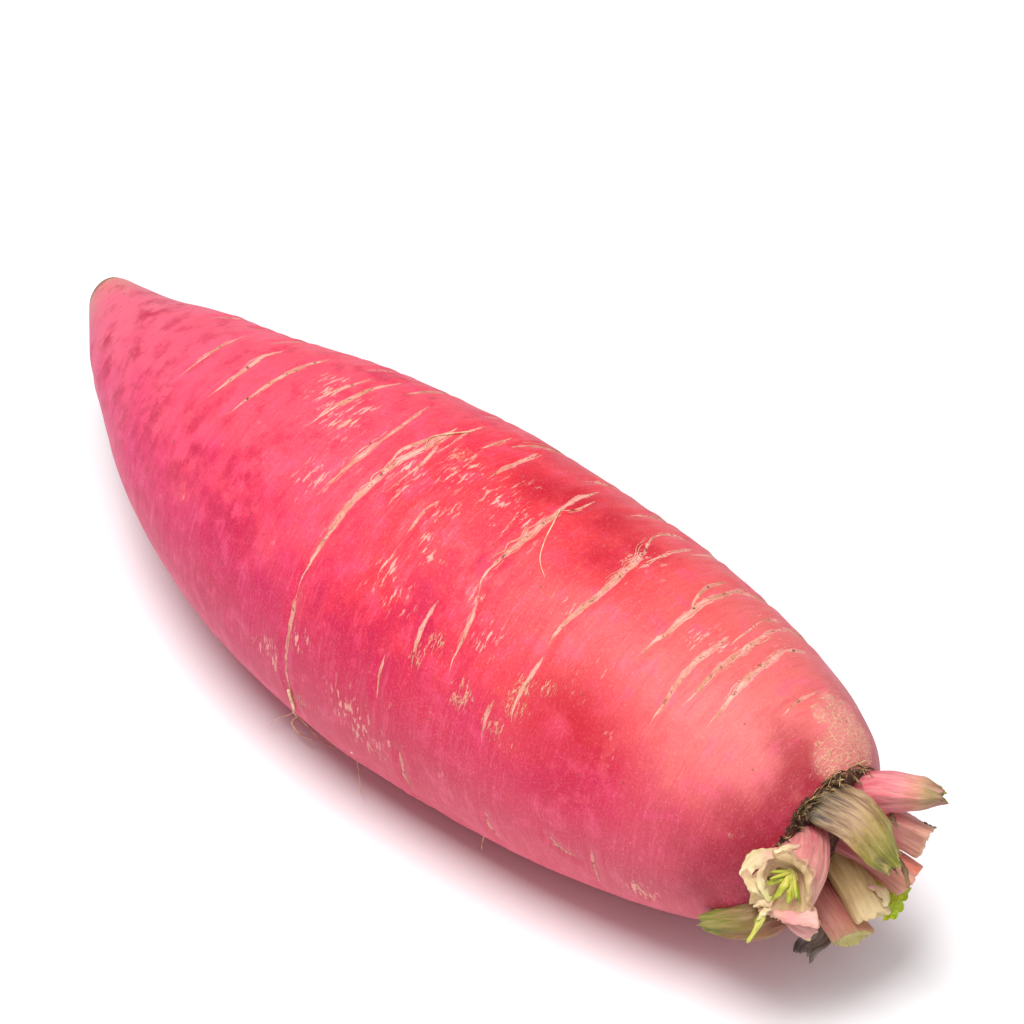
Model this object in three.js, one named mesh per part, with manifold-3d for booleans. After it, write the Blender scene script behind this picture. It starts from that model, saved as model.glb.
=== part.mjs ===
// A pink-skinned daikon radish, lying on its side: one root and the cut leaf stalks of its crown.
// The root lies along X, tail towards -X and crown towards +X, with +Z up. Sizes are in millimetres.
import * as THREE from 'three';
import { mergeVertices } from 'three/addons/utils/BufferGeometryUtils.js';
import Module from 'manifold-3d';

const wasm = await Module();
wasm.setup();

// Driving dimensions of the root
const rootLength = 254; // from the tail cut to the edge of the crown
const rootRadius = 42; // at its thickest place
const sidewaysBow = 11; // how far the middle swings towards -Y
const bowLean = 8.8; // how much more of the swing is in the tail's half
const crownRise = THREE.MathUtils.degToRad(0.8); // the crown end lies a little higher than the tail
const restDepth = 0.45; // height taken off the lowest place, which gives a spot to rest on
const tailSlantY = 0.31; // the tail is cut off at a slant, in millimetres along X for each across
const tailSlantZ = 0.16;
const tailSlantReach = 24;
const rootRings = 84;
const rootSides = 40;
const gap = 0.3; // clearance between neighbours that touch

// Outline of the root: share of the length from the tail, share of the largest radius
const rootOutline = [
  [0, 0.155], [0.022, 0.215], [0.07, 0.32], [0.15, 0.475], [0.26, 0.7], [0.39, 0.895], [0.52, 0.99],
  [0.6, 1], [0.745, 0.95], [0.85, 0.847], [0.925, 0.725], [0.97, 0.6], [0.992, 0.48], [1, 0.42],
];
// Rings of old leaf scars on the crown: share of the largest radius, height above the crown's edge
const crownRings = [[0.39, 0.8], [0.35, 0.2], [0.3, 1], [0.25, 0.4], [0.18, 1.3], [0, 1.6]];

// Cross scars: millimetres from the tail, middle angle from the top towards -Y, half their spread
// in degrees, and how far they drift towards the crown over that half spread
const crossScars = [
  { at: 57, angle: 20, spread: 34, drift: 3 },
  { at: 72, angle: 8, spread: 30, drift: 4 },
  { at: 84, angle: -2, spread: 26, drift: 5 },
  { at: 108, angle: 25, spread: 42, drift: 3 },
  { at: 121, angle: 62, spread: 66, drift: 4 },
  { at: 155, angle: 38, spread: 46, drift: 3 },
  { at: 174, angle: 12, spread: 40, drift: 4 },
  { at: 189, angle: 14, spread: 34, drift: 4 },
  { at: 199, angle: 26, spread: 26, drift: 3 },
  { at: 204, angle: 6, spread: 32, drift: 4 },
  { at: 211, angle: -8, spread: 30, drift: 4 },
  { at: 150, angle: 112, spread: 12, drift: 2 },
  { at: 176, angle: 100, spread: 10, drift: 2 },
  { at: 66, angle: 190, spread: 30, drift: 3 },
  { at: 96, angle: 214, spread: 34, drift: 4 },
  { at: 133, angle: 206, spread: 38, drift: 3 },
  { at: 168, angle: 222, spread: 30, drift: 4 },
  { at: 193, angle: 200, spread: 26, drift: 3 },
];
const scarDepth = 0.45;
const scarWidth = 2.4;
const tailGroove = { angle: 96, from: 6, to: 52, depth: 0.9, width: 15 };
const tailBump = { at: 40, angle: -50, reach: 16, spread: 45, height: 2.3 };

const degrees = THREE.MathUtils.radToDeg;
const smooth = THREE.MathUtils.smoothstep;

// The difference between two angles in degrees, from -180 to 180
function turnBetween(first, second) {
  return ((first - second + 540) % 360) - 180;
}

// Height of the skin above the plain outline at one place
function skinRelief(along, angle) {
  const share = along / rootLength;
  const turn = THREE.MathUtils.degToRad(angle);
  let height = rootRadius * share * (1 - share) * (0.05 * Math.cos(2 * turn + 0.7)
    + 0.03 * Math.cos(3 * turn + 5 * share) + 0.02 * Math.cos(5 * turn - 9 * share));
  for (const scar of crossScars) {
    const across = turnBetween(angle, scar.angle) / scar.spread;
    if (Math.abs(across) < 1) {
      const away = (along - scar.at - scar.drift * across) / scarWidth;
      height -= scarDepth * Math.exp(-away * away) * (1 - across * across);
    }
  }
  const beside = turnBetween(angle, tailGroove.angle) / tailGroove.width;
  const ends = smooth(along, tailGroove.from - 6, tailGroove.from + 6)
    * (1 - smooth(along, tailGroove.to - 24, tailGroove.to));
  height -= tailGroove.depth * ends * (Math.exp(-beside * beside)
    - 0.6 * Math.exp(-((beside - 1.5) ** 2)));
  const offBump = Math.hypot((along - tailBump.at) / tailBump.reach,
    turnBetween(angle, tailBump.angle) / tailBump.spread);
  return height + tailBump.height * Math.exp(-offBump * offBump);
}

// Where a place on the straight root goes when it is slanted at the tail, bowed and raised
function placeOnRoot(along, across, up) {
  const share = along / rootLength;
  const slant = (tailSlantY * across + tailSlantZ * up) * (1 - smooth(along, 0, tailSlantReach));
  const bulge = 4 * share * (1 - share);
  const swing = sidewaysBow - bowLean * (2 * share - 1);
  const slope = (2 * bowLean * bulge - 4 * (1 - 2 * share) * swing) / rootLength;
  const sideways = new THREE.Vector3(-slope, 1, 0).normalize();
  return new THREE.Vector3(along - rootLength / 2 - slant, -bulge * swing, up)
    .addScaledVector(sideways, across)
    .applyAxisAngle(new THREE.Vector3(0, 1, 0), -crownRise);
}

// A closed solid from a three.js geometry
function solidFrom(geometry) {
  const plain = geometry.clone();
  plain.deleteAttribute('normal');
  plain.deleteAttribute('uv');
  const merged = mergeVertices(plain, 1e-4);
  const triangles = [];
  for (let i = 0; i < merged.index.count; i += 3) {
    const [a, b, c] = [0, 1, 2].map((k) => merged.index.getX(i + k));
    if (a !== b && b !== c && c !== a) triangles.push(a, b, c);
  }
  return new wasm.Manifold(new wasm.Mesh({
    numProp: 3,
    vertProperties: Float32Array.from(merged.attributes.position.array),
    triVerts: Uint32Array.from(triangles),
  }));
}

// The three.js geometry of a solid
function geometryFrom(solid) {
  const mesh = solid.getMesh();
  const geometry = new THREE.BufferGeometry();
  geometry.setAttribute('position', new THREE.BufferAttribute(Float32Array.from(mesh.vertProperties), 3));
  geometry.setIndex(new THREE.BufferAttribute(Uint32Array.from(mesh.triVerts), 1));
  geometry.computeVertexNormals();
  return geometry;
}

// Moves every vertex of a lathe by a rule that is given its distance out, angle and height
function reshape(lathe, rule) {
  const places = lathe.attributes.position;
  for (let i = 0; i < places.count; i += 1) {
    const [x, y, z] = [places.getX(i), places.getY(i), places.getZ(i)];
    const moved = rule(Math.hypot(x, z), Math.atan2(x, z), y);
    places.setXYZ(i, moved.x, moved.y, moved.z);
  }
  return lathe;
}

// The root, with its skin moved out by the clearance where it serves to cut a neighbour
function rootSolid(clearance = 0) {
  const outline = rootOutline.map(([share, radius]) => (
    new THREE.Vector2(radius * rootRadius, share * rootLength)));
  const skin = new THREE.SplineCurve(outline).getSpacedPoints(rootRings);
  const crown = crownRings.map(([radius, height]) => (
    new THREE.Vector2(radius * rootRadius, rootLength + height)));
  const profile = [new THREE.Vector2(0, 0), ...skin, ...crown];
  const lathe = new THREE.LatheGeometry(profile, rootSides);
  return solidFrom(reshape(lathe, (radius, turn, along) => {
    const isSkin = smooth(radius, 2, 8) * (1 - smooth(along, rootLength - 3, rootLength));
    const far = radius + isSkin * skinRelief(along, degrees(turn)) + (radius > 0.01 ? clearance : 0);
    const out = along >= rootLength ? clearance : 0;
    return placeOnRoot(along + out, -far * Math.sin(turn), far * Math.cos(turn));
  }));
}

// A value that passes from the first through the second, half way, to the third
function through([first, second, third], share) {
  const slope = 4 * second - 3 * first - third;
  return first + slope * share + 2 * (first + third - 2 * second) * share * share;
}

// Leaf stalks, cut short. Each starts on the crown, this far across and up from its middle, and its
// cut end is at (X, Y, Z) from the crown's middle. Widths and thicknesses are given at the base, half
// way and at the cut. A stalk is channelled by folding its edges inwards, its cut end slants and is
// dished, and ribs run along it.
const stalks = [
  {
    name: 'withered_stalk', colour: 0xb9a27c,
    base: [-2, 15.5], tip: [16.5, 3.5, 5.5], sag: [0, 0, 3],
    width: [11, 11.8, 8.8], thick: [3.4, 3.8, 2.8], channel: 1.5,
    dish: 0.6, slant: [0.3, 0.2], ribs: 5, ribHeight: 0.07,
  },
  {
    name: 'flared_stalk', colour: 0xe39aa0,
    base: [-7.5, 8], tip: [5.2, -19, 4], sag: [2.5, 0, 2],
    faces: [0.4, -0.2, 0.9],
    width: [9.5, 10.5, 15.5], thick: [6.4, 7, 13], channel: 0.3,
    dish: 5.5, slant: [-0.1, -1.1], ribs: 4, ribHeight: 0.04,
  },
  {
    name: 'upper_stalk', colour: 0xe78f98,
    base: [10.5, 8], tip: [16.5, 17, 15.5], sag: [0, -0.3, 0.6],
    width: [9.6, 10.4, 7.4], thick: [7.4, 8.4, 5], channel: 0.6,
    dish: 0.8, slant: [0.2, 0], ribs: 6, ribHeight: 0.03,
  },
  {
    name: 'cream_stalk', colour: 0xe6d3ab,
    base: [3, -6], tip: [14, 1, -13], sag: [0.4, 0, 0.8],
    width: [7.6, 8, 8.4], thick: [6.6, 6.8, 7], channel: 0.3,
    dish: 0.9, slant: [0.15, 0], ribs: 5, ribHeight: 0.03,
  },
  {
    name: 'channelled_stalk', colour: 0xe8a7a4,
    base: [11.5, 1], tip: [14, 17, 0], sag: [0, 0.4, 0.5],
    width: [8.6, 9.2, 10.2], thick: [5.2, 5.2, 5.2], channel: 2.4,
    dish: 0.7, slant: [0.12, 0], ribs: 4, ribHeight: 0.03,
  },
  {
    name: 'low_stalk', colour: 0xe3929c,
    base: [-2.5, -12], tip: [13, -4, -17], sag: [0, -0.4, 0.6],
    width: [9, 10, 11], thick: [5.6, 5.6, 5.4], channel: 1.4,
    dish: 0.8, slant: [0.3, 0], ribs: 5, ribHeight: 0.03,
  },
  {
    name: 'middle_stalk', colour: 0xe09b96,
    base: [4, -2], tip: [15, 10.5, -9], sag: [0, 0, 0.8],
    width: [6, 6.2, 6], thick: [5, 5, 4.8], channel: 0.6,
    dish: 0.5, slant: [0.1, 0], ribs: 4, ribHeight: 0.03,
  },
  {
    name: 'round_stalk', colour: 0xee8f74,
    base: [11, -7.5], tip: [13, 15.5, -11.5], sag: [0, 0, 0.4],
    width: [4.8, 5, 5.2], thick: [5.2, 5.4, 5.6], channel: 0.2,
    dish: -0.6, slant: [0.05, 0], ribs: 4, ribHeight: 0.02,
  },
  {
    name: 'back_stalk', colour: 0xdf8f90,
    base: [14.5, -2], tip: [5, 20, -4], sag: [0, 0.4, 0.4],
    width: [6.4, 6, 5.2], thick: [4.4, 4.2, 3.6], channel: 0.8,
    dish: 0.6, slant: [0.2, 0], ribs: 5, ribHeight: 0.04,
  },
  {
    name: 'folded_stalk', colour: 0xa9a06c,
    base: [-12.5, -9], tip: [-7.9, -27.9, -11.4], sag: [4, -1, 2.5],
    faces: [0.6, -0.3, 0.75],
    width: [8, 8.8, 3.4], thick: [2.4, 2.2, 1.5], channel: 0.8,
    dish: 0, slant: [0.2, 0], ribs: 4, ribHeight: 0.05,
  },
  {
    name: 'pink_shred', colour: 0xe9a0a2,
    base: [-15, -8], tip: [8.5, -11, -13], sag: [1.5, -1.5, 0.5],
    faces: [0.6, -0.5, 0.6],
    width: [3.4, 2.8, 5.2], thick: [1.8, 1.6, 1.5], channel: 0.3,
    dish: 0, slant: [-0.25, 0], ribs: 3, ribHeight: 0.05,
  },
  {
    name: 'curled_dry_stalk', colour: 0x807a74,
    base: [-4, -15], tip: [5.5, -9.5, -24], sag: [2.6, 0, -1],
    width: [5.4, 6.4, 5.4], thick: [4.2, 4.6, 3.6], channel: 1.1,
    dish: 1.2, slant: [-0.2, 0], ribs: 4, ribHeight: 0.08,
  },
  {
    name: 'low_back_stalk', colour: 0xd98d92,
    base: [11, -12], tip: [5, 13.5, -15], sag: [0, 0, 0.3],
    width: [6.4, 6, 5.6], thick: [4, 4, 3.6], channel: 1,
    dish: 0.7, slant: [0.2, 0], ribs: 5, ribHeight: 0.04,
  },
];
const stalkSides = 16;
const stalkSteps = 6;
const stalkSink = 4; // how far a stalk starts inside the crown, before the root is cut from it

// Young leaves between the stalks. Widths are given as a stalk's are, the blade is lobed along its
// edges and waved, and its thickness is even.
const youngLeaf = {
  base: [8, -13], tip: [12, 13, -18.5], sag: [0, 1, 0.5], width: [2, 6.6, 6],
  lobes: 3, lobeDepth: 0.16, wave: 0.9,
};
const leafThickness = 0.9;
const leafSides = 8;
const plainLeafSteps = 4;
// Leaves of the bud in the hollow of the flared stalk: where each ends, across the hollow, up from it
// and out past the cut. The last hangs over the edge.
const budLeaves = [
  { across: -3.2, up: 0.6, out: 1.6, bend: 0.6 },
  { across: -0.4, up: 1.2, out: 2.4, bend: 0.9 },
  { across: 2.8, up: 0.4, out: 1.2, bend: 0.5 },
];
const budLeafWidth = [1.6, 2.6, 0.9];
const budLeafThickness = 0.8;
const sprig = { over: [1.2, -3.5], reach: [-2.5, -4, -9], width: [1, 1.1, 0.9] };

// A place given from the crown's middle, in plain X, Y and Z
const crownMiddle = placeOnRoot(rootLength, 0, 0);
function fromCrown([x, y, z]) {
  return crownMiddle.clone().add(new THREE.Vector3(x, y, z));
}

// A smooth line from the crown to a stalk's cut end
function stalkLine({ base, tip, sag }) {
  const start = placeOnRoot(rootLength, ...base);
  const end = fromCrown(tip);
  const middle = start.clone().lerp(end, 0.5).add(new THREE.Vector3(...sag));
  const sunk = placeOnRoot(rootLength - stalkSink, ...base);
  return new THREE.CatmullRomCurve3([sunk, start, middle, end]);
}

// The directions along a stalk's line, across it, and the way that its outer side faces, which is
// away from the middle of the crown where nothing else is given
function frameOn(line, at, { base, faces = [0, ...base] }) {
  const outwards = new THREE.Vector3(...faces).normalize();
  const forwards = line.getTangentAt(at);
  const sideways = forwards.clone().cross(outwards).normalize();
  const upwards = sideways.clone().cross(forwards);
  return { forwards, sideways, upwards };
}

// One stalk, larger all round by the clearance where it serves to cut a neighbour
function stalkSolid(stalk, clearance = 0) {
  const line = stalkLine(stalk);
  const length = line.getLength();
  const innerEdge = 0.82 - 2 * clearance / stalk.width[2];
  const dish = Math.max(stalk.dish - clearance, stalk.dish > 0 ? 0 : stalk.dish) / length;
  const profile = [[0, 0], [1, 0]];
  for (let i = 1; i <= stalkSteps; i += 1) profile.push([1, 0.97 * i / stalkSteps]);
  profile.push([0.94, 1], [innerEdge, 1 - 0.1 * dish], [0.5 * innerEdge, 1 - 0.8 * dish], [0, 1 - dish]);
  const lathe = new THREE.LatheGeometry(profile.map(([x, y]) => new THREE.Vector2(x, y)), stalkSides);
  return solidFrom(reshape(lathe, (radius, turn, share) => {
    const at = THREE.MathUtils.clamp(share, 0, 1);
    const { forwards, sideways, upwards } = frameOn(line, at, stalk);
    const ribbed = 1 + stalk.ribHeight * Math.cos(stalk.ribs * turn);
    const across = radius * ribbed * (through(stalk.width, at) / 2 + clearance) * Math.sin(turn);
    const fold = stalk.channel * radius * radius * Math.sin(turn) ** 2;
    const out = radius * ribbed * (through(stalk.thick, at) / 2 + clearance) * Math.cos(turn) - fold;
    const [slantAcross, slantOut] = stalk.slant;
    const end = smooth(share, 0.5, 1) * (slantAcross * across + slantOut * out + clearance);
    return line.getPointAt(at)
      .addScaledVector(sideways, across)
      .addScaledVector(upwards, out)
      .addScaledVector(forwards, end);
  }));
}

// A thin leaf of even thickness along a line, lobed at its edges and waved
function leafSolid(line, stalk, width, thickness, { lobes = 0, lobeDepth = 0, wave = 0 } = {}) {
  const steps = plainLeafSteps * (1 + lobes);
  const profile = [new THREE.Vector2(0, 0), new THREE.Vector2(1, 0)];
  for (let i = 1; i < steps; i += 1) profile.push(new THREE.Vector2(1, i / steps));
  profile.push(new THREE.Vector2(0.6, 1), new THREE.Vector2(0, 1));
  const lathe = new THREE.LatheGeometry(profile, leafSides);
  return solidFrom(reshape(lathe, (radius, turn, share) => {
    const { sideways, upwards } = frameOn(line, share, stalk);
    const lobed = 1 + lobeDepth * Math.cos(2 * Math.PI * lobes * share);
    const across = radius * Math.sin(turn) * lobed * through(width, share) / 2;
    const lift = wave * share * Math.sin(2 * Math.PI * lobes * share + across);
    return line.getPointAt(share)
      .addScaledVector(sideways, across)
      .addScaledVector(upwards, radius * Math.cos(turn) * thickness / 2 + lift);
  }));
}

// The leaves of the bud stand in the hollow of the flared stalk and meet at its bottom
function budSolid() {
  const stalk = stalks.find(({ name }) => name === 'flared_stalk');
  const line = stalkLine(stalk);
  const { forwards, sideways, upwards } = frameOn(line, 1, stalk);
  const rim = line.getPointAt(1);
  const bottom = rim.clone().addScaledVector(forwards, 1 - stalk.dish);
  const leaves = budLeaves.map(({ across, up, out, bend }) => {
    const end = rim.clone()
      .addScaledVector(sideways, across)
      .addScaledVector(upwards, up)
      .addScaledVector(forwards, out);
    const middle = bottom.clone().lerp(end, 0.5).addScaledVector(upwards, bend);
    const start = bottom.clone().addScaledVector(sideways, across / 5);
    const rib = new THREE.CatmullRomCurve3([start, middle, end]);
    return leafSolid(rib, stalk, budLeafWidth, budLeafThickness);
  });
  const [ahead, above] = sprig.over;
  const over = rim.clone().addScaledVector(forwards, ahead).addScaledVector(upwards, above);
  const end = over.clone().add(new THREE.Vector3(...sprig.reach));
  const hangs = new THREE.CatmullRomCurve3([bottom, over, end]);
  leaves.push(leafSolid(hangs, stalk, sprig.width, budLeafThickness));
  return leaves.reduce((all, leaf) => all.add(leaf));
}

// The largest of the bodies that a cut leaves
function largestOf(solid) {
  return solid.decompose().reduce((best, next) => (next.volume() > best.volume() ? next : best));
}

const daikon = new THREE.Group();

function addPiece(name, solid, colour, roughness) {
  const material = new THREE.MeshStandardMaterial({ color: colour, roughness, metalness: 0 });
  const piece = new THREE.Mesh(geometryFrom(solid), material);
  piece.name = name;
  daikon.add(piece);
}

// The root is levelled off at its lowest place, so that it rests as it lies
function restedRoot() {
  const root = rootSolid();
  const lowest = root.boundingBox().min[2];
  const slab = new THREE.BoxGeometry(rootLength, 4 * rootRadius, rootRadius);
  slab.translate(0, 0, lowest + restDepth - rootRadius / 2);
  return root.subtract(solidFrom(slab));
}

const root = restedRoot();
const rootCutter = rootSolid(gap);
addPiece('root', root, 0xe04468, 0.5);

const cutters = [rootCutter];
for (const stalk of stalks) {
  const free = cutters.reduce((solid, cutter) => solid.subtract(cutter), stalkSolid(stalk));
  addPiece(stalk.name, largestOf(free), stalk.colour, 0.6);
  cutters.push(stalkSolid(stalk, gap));
}

function addLeaves(name, solid, colour) {
  const free = cutters.reduce((left, cutter) => left.subtract(cutter), solid);
  addPiece(name, largestOf(free), colour, 0.5);
}
const youngBlade = leafSolid(stalkLine(youngLeaf), youngLeaf, youngLeaf.width, leafThickness, youngLeaf);
addLeaves('young_leaf', youngBlade, 0x9fb52c);
addLeaves('bud_leaves', budSolid(), 0xb4bd4a);

// The origin is under the middle of the whole radish, on the surface it lies on
const box = new THREE.Box3().setFromObject(daikon);
const middle = box.getCenter(new THREE.Vector3());
daikon.position.set(-middle.x, -middle.y, -box.min.z);
daikon.updateMatrixWorld(true);

export default daikon;
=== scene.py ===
# A pink-skinned daikon radish lying on its side, with the cut leaf stalks of its crown.
import bpy
import bmesh
import math
import random
import numpy as np
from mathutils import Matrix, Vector, noise
from mathutils.bvhtree import BVHTree
from mathutils.kdtree import KDTree


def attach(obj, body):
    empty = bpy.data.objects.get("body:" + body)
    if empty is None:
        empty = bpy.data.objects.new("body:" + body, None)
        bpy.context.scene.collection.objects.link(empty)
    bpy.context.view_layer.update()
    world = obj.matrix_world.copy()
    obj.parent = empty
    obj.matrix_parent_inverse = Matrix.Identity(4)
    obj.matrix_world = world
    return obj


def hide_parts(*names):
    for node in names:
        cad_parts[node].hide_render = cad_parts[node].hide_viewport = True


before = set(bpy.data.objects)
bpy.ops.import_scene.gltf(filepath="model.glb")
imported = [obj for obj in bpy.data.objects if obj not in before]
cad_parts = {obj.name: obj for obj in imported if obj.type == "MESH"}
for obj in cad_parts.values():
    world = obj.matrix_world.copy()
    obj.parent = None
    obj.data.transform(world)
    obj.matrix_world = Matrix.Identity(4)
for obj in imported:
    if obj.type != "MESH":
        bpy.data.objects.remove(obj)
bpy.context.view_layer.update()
scene = bpy.context.scene
millimetre = 0.001  # in metres
rowShift = np.array([-8.41, 8.64, 42.12])  # millimetres, puts the shapes below where the frame has them

# The camera stands where the photograph was taken from. Millimetres and degrees.
cameraValues = {
    "heading": 48.116, "elevation": 42.022, "distance": 766.64, "looksAt": (-5.10, 30.34, 42.0),
    "focalPixels": 3237.0, "imageSide": 1024.0, "sensor": 36.0,
}
headingAngle = math.radians(cameraValues["heading"])
elevationAngle = math.radians(cameraValues["elevation"])
cameraRight = np.array([math.cos(headingAngle), math.sin(headingAngle), 0.0])
cameraBack = np.array([
    math.sin(headingAngle) * math.cos(elevationAngle),
    -math.cos(headingAngle) * math.cos(elevationAngle),
    math.sin(elevationAngle),
])
cameraUp = np.cross(cameraBack, cameraRight)
cameraPlace = np.array(cameraValues["looksAt"]) + cameraBack * cameraValues["distance"]


# The direction in which the camera sees a pixel of the photograph
def pixelDirection(x, y):
    half = cameraValues["imageSide"] / 2
    seen = cameraRight * (x - half) - cameraUp * (y - half) - cameraBack * cameraValues["focalPixels"]
    return seen / np.linalg.norm(seen)


# The place at a pixel that stands so many millimetres nearer to the camera than the given place
def placeAtPixel(x, y, beside, nearer=0.0):
    direction = pixelDirection(x, y)
    depth = (cameraPlace - np.array(beside)) @ cameraBack - nearer
    return cameraPlace + direction * depth / -(direction @ cameraBack)


# The place at a pixel on a level plane
def placeAtHeight(x, y, height):
    direction = pixelDirection(x, y)
    return cameraPlace + direction * (height - cameraPlace[2]) / direction[2]


def smoothStep(value, low, high):
    share = np.clip((np.asarray(value, float) - low) / (high - low), 0, 1)
    return share * share * (3 - 2 * share)


# Steps on a smooth line through some points, with even knots or knots that follow the points' distances
def smoothSteps(points, evenKnots=False):
    given = np.array(points, float)
    before = given[0] if evenKnots else 2 * given[0] - given[1]
    after = given[-1] if evenKnots else 2 * given[-1] - given[-2]
    ends = np.vstack([before, given, after])
    w = np.linspace(0, 1, 30, endpoint=False)[:, None]
    pieces = []
    for i in range(len(given) - 1):
        a, b, c, d = ends[i:i + 4]
        first, second, third = (1.0 if evenKnots else max(float(np.sum((q - p) ** 2)) ** 0.25, 1e-4)
                                for p, q in ((a, b), (b, c), (c, d)))
        leave = ((b - a) / first - (c - a) / (first + second) + (c - b) / second) * second
        arrive = ((c - b) / second - (d - b) / (second + third) + (d - c) / third) * second
        pieces.append(b + leave * w + (3 * c - 3 * b - 2 * leave - arrive) * w ** 2
                      + (2 * b - 2 * c + leave + arrive) * w ** 3)
    return np.vstack(pieces + [given[-1:]])


def lineSteps(line):
    return np.linalg.norm(np.diff(line, axis=0), axis=1)


# The same smooth line as evenly spaced points
def curveThrough(points, count):
    fine = smoothSteps(points)
    lengths = np.concatenate([[0], np.cumsum(lineSteps(fine))])
    at = np.linspace(0, lengths[-1], count)
    return np.stack([np.interp(at, lengths, fine[:, k]) for k in range(fine.shape[1])], -1)


# A chain of (distance out, distance along) spun round the X axis into a closed skin. With it come the
# distance along, the distance out and the turn of each vertex.
def spinChain(chain, sides):
    bm = bmesh.new()
    verts = [bm.verts.new((along, 0.0, out)) for out, along in chain]
    for first, second in zip(verts, verts[1:]):
        bm.edges.new((first, second))
    bmesh.ops.spin(bm, geom=bm.verts[:] + bm.edges[:], cent=(0, 0, 0), axis=(1, 0, 0),
                   angle=math.tau, steps=sides, use_merge=True)
    bmesh.ops.remove_doubles(bm, verts=bm.verts[:], dist=1e-5)
    bm.verts.index_update()
    along, across, up = np.array([v.co[:] for v in bm.verts], float).T
    return bm, along, np.hypot(across, up), np.arctan2(across, up)


def writePlaces(bm, places):
    for vert, place in zip(bm.verts, places * millimetre):
        vert.co = place
    bmesh.ops.recalc_face_normals(bm, faces=bm.faces[:])


# Makes the finished piece of a mesh, with its own values at each vertex for its material to read
def finishPiece(bm, name, material, standsFor=(), values=None):
    mesh = bpy.data.meshes.new(name)
    bm.to_mesh(mesh)
    bm.free()
    for label, numbers in (values or {}).items():
        numbers = np.asarray(numbers, np.float32)
        kind, field = ("FLOAT", "value") if numbers.ndim == 1 else ("FLOAT_VECTOR", "vector")
        mesh.attributes.new(label, kind, "POINT").data.foreach_set(field, numbers.ravel())
    mesh.polygons.foreach_set("use_smooth", [True] * len(mesh.polygons))
    mesh.materials.append(material)
    piece = bpy.data.objects.new(name, mesh)
    scene.collection.objects.link(piece)
    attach(piece, "root")
    if standsFor:
        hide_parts(*standsFor)


# A painter's colour code as the linear colour that a shader takes
def shade(code):
    parts = [int(code[i:i + 2], 16) / 255 for i in (0, 2, 4)]
    return tuple(((c + 0.055) / 1.055) ** 2.4 if c > 0.04045 else c / 12.92 for c in parts) + (1.0,)


# A new shader node in the tree that the linked sockets belong to, or in the given one
def addNode(kind, links, tree=None, **settings):
    sockets = [value for value in links.values() if isinstance(value, bpy.types.NodeSocket)]
    tree = tree or sockets[0].id_data
    made = tree.nodes.new(kind)
    for label, value in settings.items():
        setattr(made, label, value)
    for socket, value in links.items():
        if isinstance(value, bpy.types.NodeSocket):
            tree.links.new(value, made.inputs[socket])
        else:
            made.inputs[socket].default_value = value
    return made


def calculate(how, first, second, clamp=False):
    return addNode("ShaderNodeMath", {0: first, 1: second}, operation=how, use_clamp=clamp).outputs[0]


def plus(first, second, clamp=False):
    return calculate("ADD", first, second, clamp)


def times(first, second):
    return calculate("MULTIPLY", first, second)


# A value that swings round one half, as one that swings round nought by an amount
def swing(value, amount, middle=0.5):
    return times(calculate("SUBTRACT", value, middle), amount)


def between(value, low, high, top=1.0):
    return addNode("ShaderNodeMapRange", {"Value": value, "From Min": low, "From Max": high, "To Min": 0.0,
                                          "To Max": top}, interpolation_type="SMOOTHSTEP").outputs["Result"]


# One colour over another by a share. Colours are sockets or painter's codes.
def blend(share, first, second):
    first, second = (shade(colour) if isinstance(colour, str) else colour for colour in (first, second))
    return addNode("ShaderNodeMix", {0: share, 6: first, 7: second}, data_type="RGBA").outputs[2]


def stretched(vector, stretch):
    return addNode("ShaderNodeVectorMath", {0: vector, 1: stretch}, operation="MULTIPLY").outputs[0]


def noiseOver(vector, stretch, detail=2.0, roughness=0.5):
    return addNode("ShaderNodeTexNoise", {"Vector": stretched(vector, stretch), "Scale": 1.0,
                                          "Detail": detail, "Roughness": roughness}).outputs["Fac"]


def cellsOver(vector, stretch, feature="F1"):
    return addNode("ShaderNodeTexVoronoi", {"Vector": stretched(vector, stretch), "Scale": 1.0},
                   feature=feature).outputs


def rampOver(value, stops):
    made = addNode("ShaderNodeValToRGB", {"Fac": value})
    ramp = made.color_ramp
    while len(ramp.elements) < len(stops):
        ramp.elements.new(0.5)
    for element, (position, code) in zip(ramp.elements, stops):
        element.position = position
        element.color = shade(code)
    return made.outputs["Color"]


def readAttribute(tree, label, output="Fac"):
    return addNode("ShaderNodeAttribute", {}, tree, attribute_name=label).outputs[output]


def objectPlace(tree):
    return addNode("ShaderNodeTexCoord", {}, tree).outputs["Object"]


def newMaterial(name, roughness=0.5, softness=0.0, softDepth=0.002):
    material = bpy.data.materials.new(name)
    material.use_nodes = True
    tree = material.node_tree
    surface = tree.nodes["Principled BSDF"]
    settings = {"Roughness": roughness, "Specular IOR Level": 0.32, "Subsurface Weight": softness,
                "Subsurface Scale": softDepth, "Subsurface Radius": (1.0, 0.35, 0.3)}
    for label, value in settings.items():
        surface.inputs[label].default_value = value
    return material, tree, surface


# Gives a material its colour, and its relief as a height with a strength and a distance
def dress(tree, surface, colour, height=None, strength=0.0, distance=0.0):
    tree.links.new(colour, surface.inputs["Base Color"])
    if height is not None:
        bump = addNode("ShaderNodeBump", {"Height": height, "Strength": strength, "Distance": distance})
        tree.links.new(bump.outputs["Normal"], surface.inputs["Normal"])


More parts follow.
